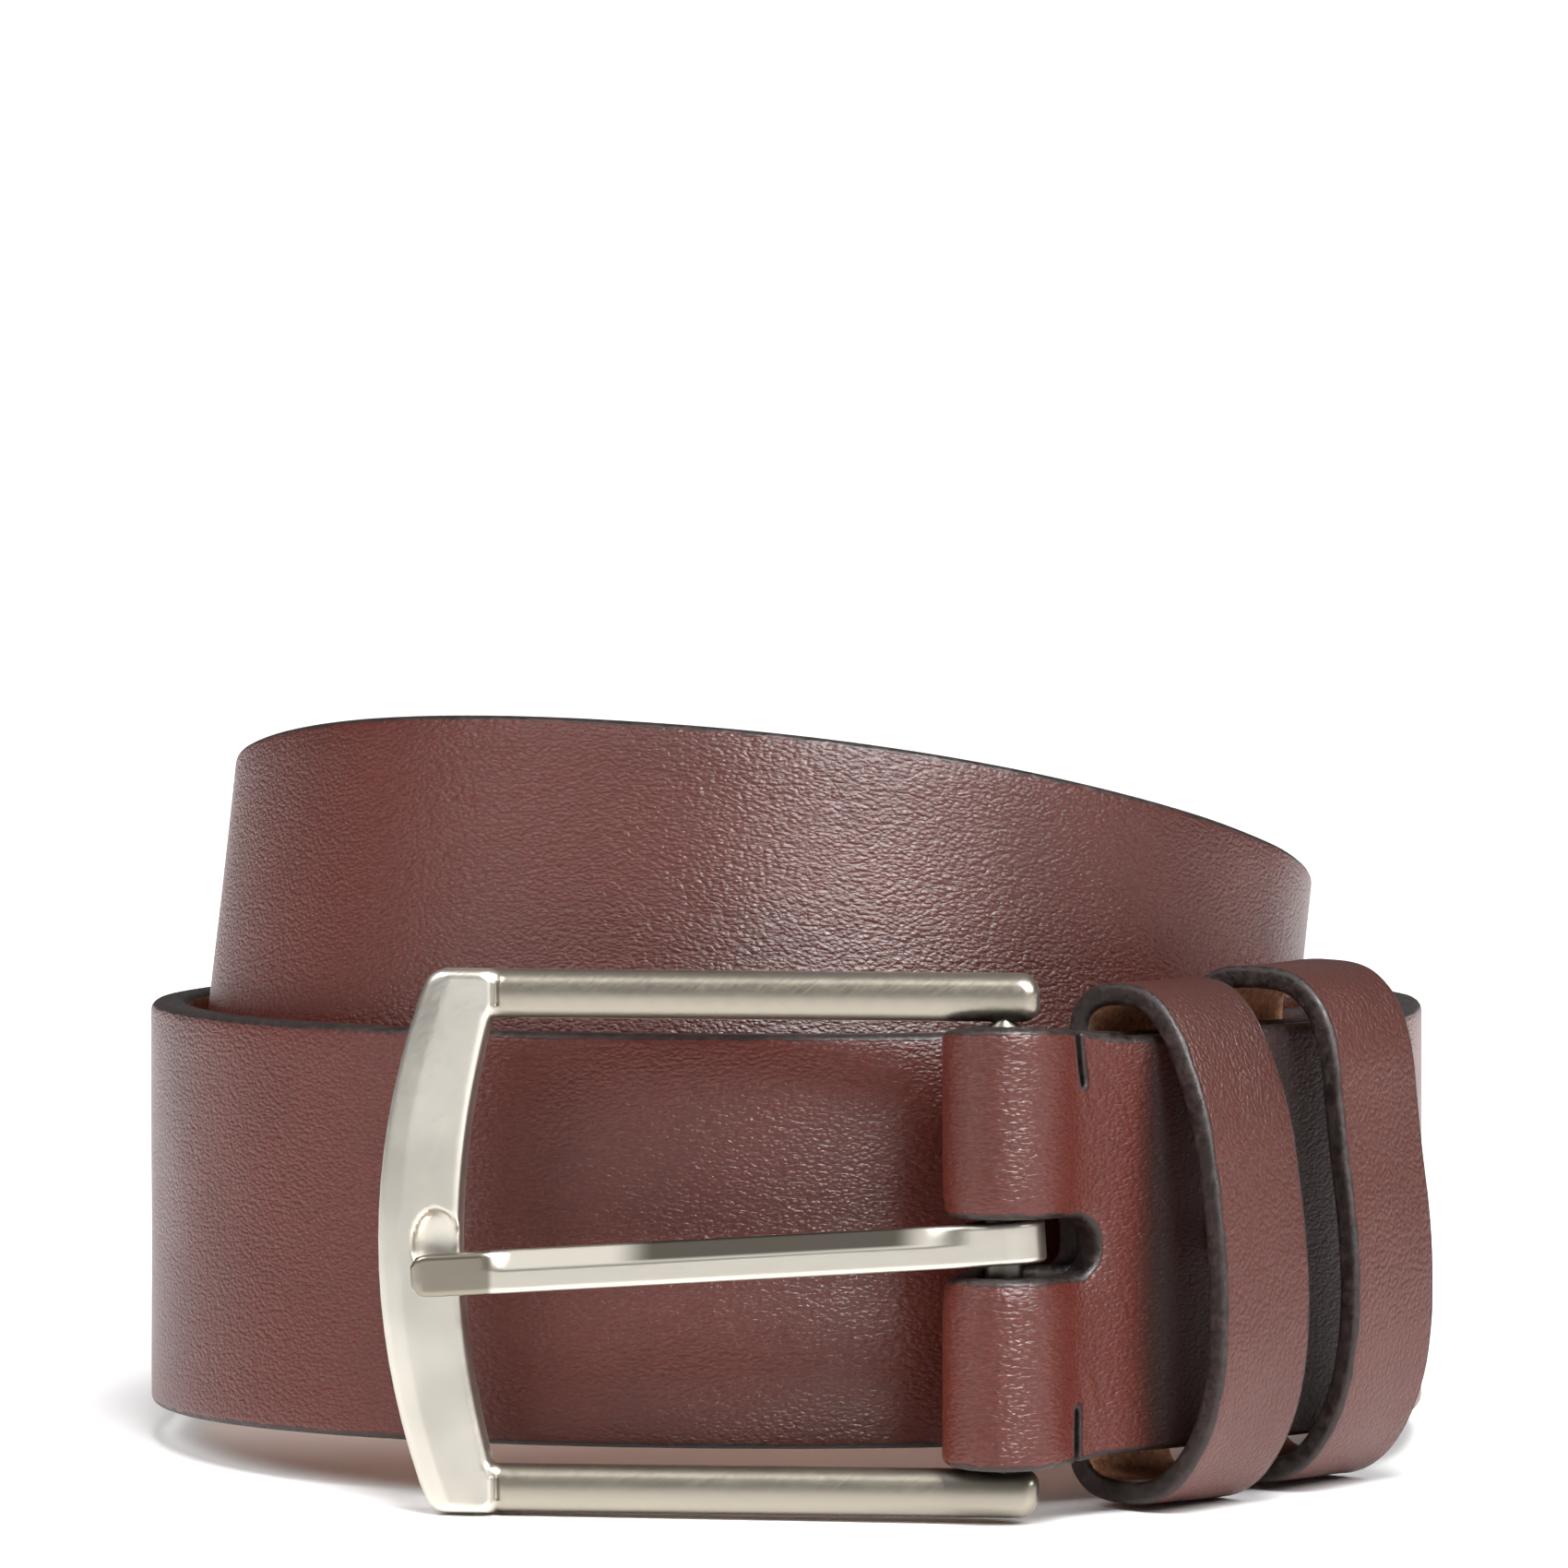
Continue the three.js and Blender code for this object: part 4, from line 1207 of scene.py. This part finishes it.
finish_piece(make_strap(), "strap", "strap_leather", strap_leather, "main_strap")
finish_piece(
    make_keeper("keeper_by_buckle", FIXED_KEEPER, True), "strap", "keeper_leather", keeper_leather,
    "fixed_keeper",
)
finish_piece(
    make_keeper("keeper_loose", SLIDING_KEEPER, False), "loose_keeper", "keeper_leather", keeper_leather,
    "sliding_keeper",
)
finish_piece(make_buckle(), "buckle", "satin_nickel", buckle_nickel, "buckle_frame")
finish_piece(make_prong(), "prong", "satin_nickel", prong_nickel(), "prong")
finish_piece(
    turned("bar_pin", bar_place, bar_profile(), 64), "buckle", "satin_nickel", shaded_steel, "buckle_bar",
)
for part, profile in (("post", rivet_post()), ("cap", rivet_cap())):
    finish_piece(
        turned("rivet_" + part, rivet, profile, 40), "strap", "satin_nickel", nickel,
        "turnback_rivet_" + part,
    )
for name, keeper, body, node in (
    ("staple_by_buckle", FIXED_KEEPER, "strap", "fixed_keeper_staple"),
    ("staple_loose", SLIDING_KEEPER, "loose_keeper", "sliding_keeper_staple"),
):
    staple = wire(name, strap_place(**keeper), staple_path(keeper["joint"]), STAPLE_WIRE)
    finish_piece(staple, body, "satin_nickel", nickel, node)
finish_piece(
    wire("stitches", strap_place(**STITCH_ROW), stitch_path(), THREAD_RADIUS),
    "strap", "sewing_thread", thread, "turnback_stitches",
)

# ---- Floor, light and camera ----


def softbox(name, azimuth, elevation, width, height, power):
    """A rectangular light aimed at the belt. Azimuth 0 is in front of it, growing to the right."""
    a, e = math.radians(azimuth), math.radians(elevation)
    direction = Vector((math.sin(a) * math.cos(e), -math.cos(a) * math.cos(e), math.sin(e)))
    data = bpy.data.lights.new(name, "AREA")
    data.shape = "RECTANGLE"
    data.size, data.size_y = width, height
    data.energy = power
    light = in_scene(name, data)
    light.location = Vector(SOFTBOX_AIM) + direction * SOFTBOX_DISTANCE
    light.rotation_euler = direction.to_track_quat("Z", "Y").to_euler()
    return light


def make_floor():
    left, right = -FLOOR_HALF_WIDTH, FLOOR_HALF_WIDTH
    corners = [(left, FLOOR_FRONT, 0), (right, FLOOR_FRONT, 0), (right, FLOOR_BACK, 0), (left, FLOOR_BACK, 0)]
    mesh = bpy.data.meshes.new("floor")
    mesh.from_pydata(corners, [], [(0, 1, 2, 3)])
    plane = in_scene("floor", mesh)
    plane.location.z = cad_low.z - FLOOR_GAP
    mesh.materials.append(Nodes("white_floor").surface(Base_Color=(0.93, 0.93, 0.93, 1), Roughness=0.6))
    return plane


def light_floor(plane):
    """A wide overhead light for the floor alone, which keeps it white around soft shadows."""
    data = bpy.data.lights.new("overhead", "SUN")
    data.energy = 3.4
    data.angle = math.radians(24)
    overhead = in_scene("overhead", data)
    overhead.rotation_euler = (math.radians(30), 0, math.radians(14))
    lit = bpy.data.collections.new("lit_by_overhead")
    lit.objects.link(plane)
    overhead.light_linking.receiver_collection = lit


def make_world():
    """White surroundings that brighten upwards, as a studio's ceiling does."""
    world = bpy.data.worlds.new("studio")
    world.use_nodes = True
    nodes, links = world.node_tree.nodes, world.node_tree.links
    background = nodes["Background"]
    background.inputs["Color"].default_value = (1, 1, 1, 1)
    split = nodes.new("ShaderNodeSeparateXYZ")
    links.new(nodes.new("ShaderNodeTexCoord").outputs["Generated"], split.inputs[0])
    dim_to_bright = nodes.new("ShaderNodeMapRange")
    for name, value in {"From Min": 0.02, "From Max": 0.6, "To Min": 0.06, "To Max": 0.34}.items():
        dim_to_bright.inputs[name].default_value = value
    links.new(split.outputs["Z"], dim_to_bright.inputs["Value"])
    links.new(dim_to_bright.outputs[0], background.inputs["Strength"])
    bpy.context.scene.world = world


def make_camera():
    data = bpy.data.cameras.new("camera")
    data.sensor_width = 36
    data.lens = CAMERA_LENS
    data.clip_start = 0.05
    camera = in_scene("camera", data)
    from_aim = Vector((0, -math.cos(CAMERA_ELEVATION), math.sin(CAMERA_ELEVATION)))
    camera.location = Vector(CAMERA_AIM) + CAMERA_DISTANCE * from_aim
    camera.rotation_euler = (math.pi / 2 - CAMERA_ELEVATION + CAMERA_TILT_UP, 0, 0)
    bpy.context.scene.camera = camera


floor = make_floor()
softbox("left_softbox", azimuth=-62, elevation=42, width=0.40, height=0.60, power=7)
highlight = softbox("highlight", azimuth=28, elevation=46, width=0.28, height=0.34, power=36)
highlight.visible_diffuse = False
softbox("right_softbox", azimuth=66, elevation=40, width=0.40, height=0.70, power=10)
light_floor(floor)
make_world()
make_camera()
bpy.context.scene.view_settings.view_transform = "Standard"
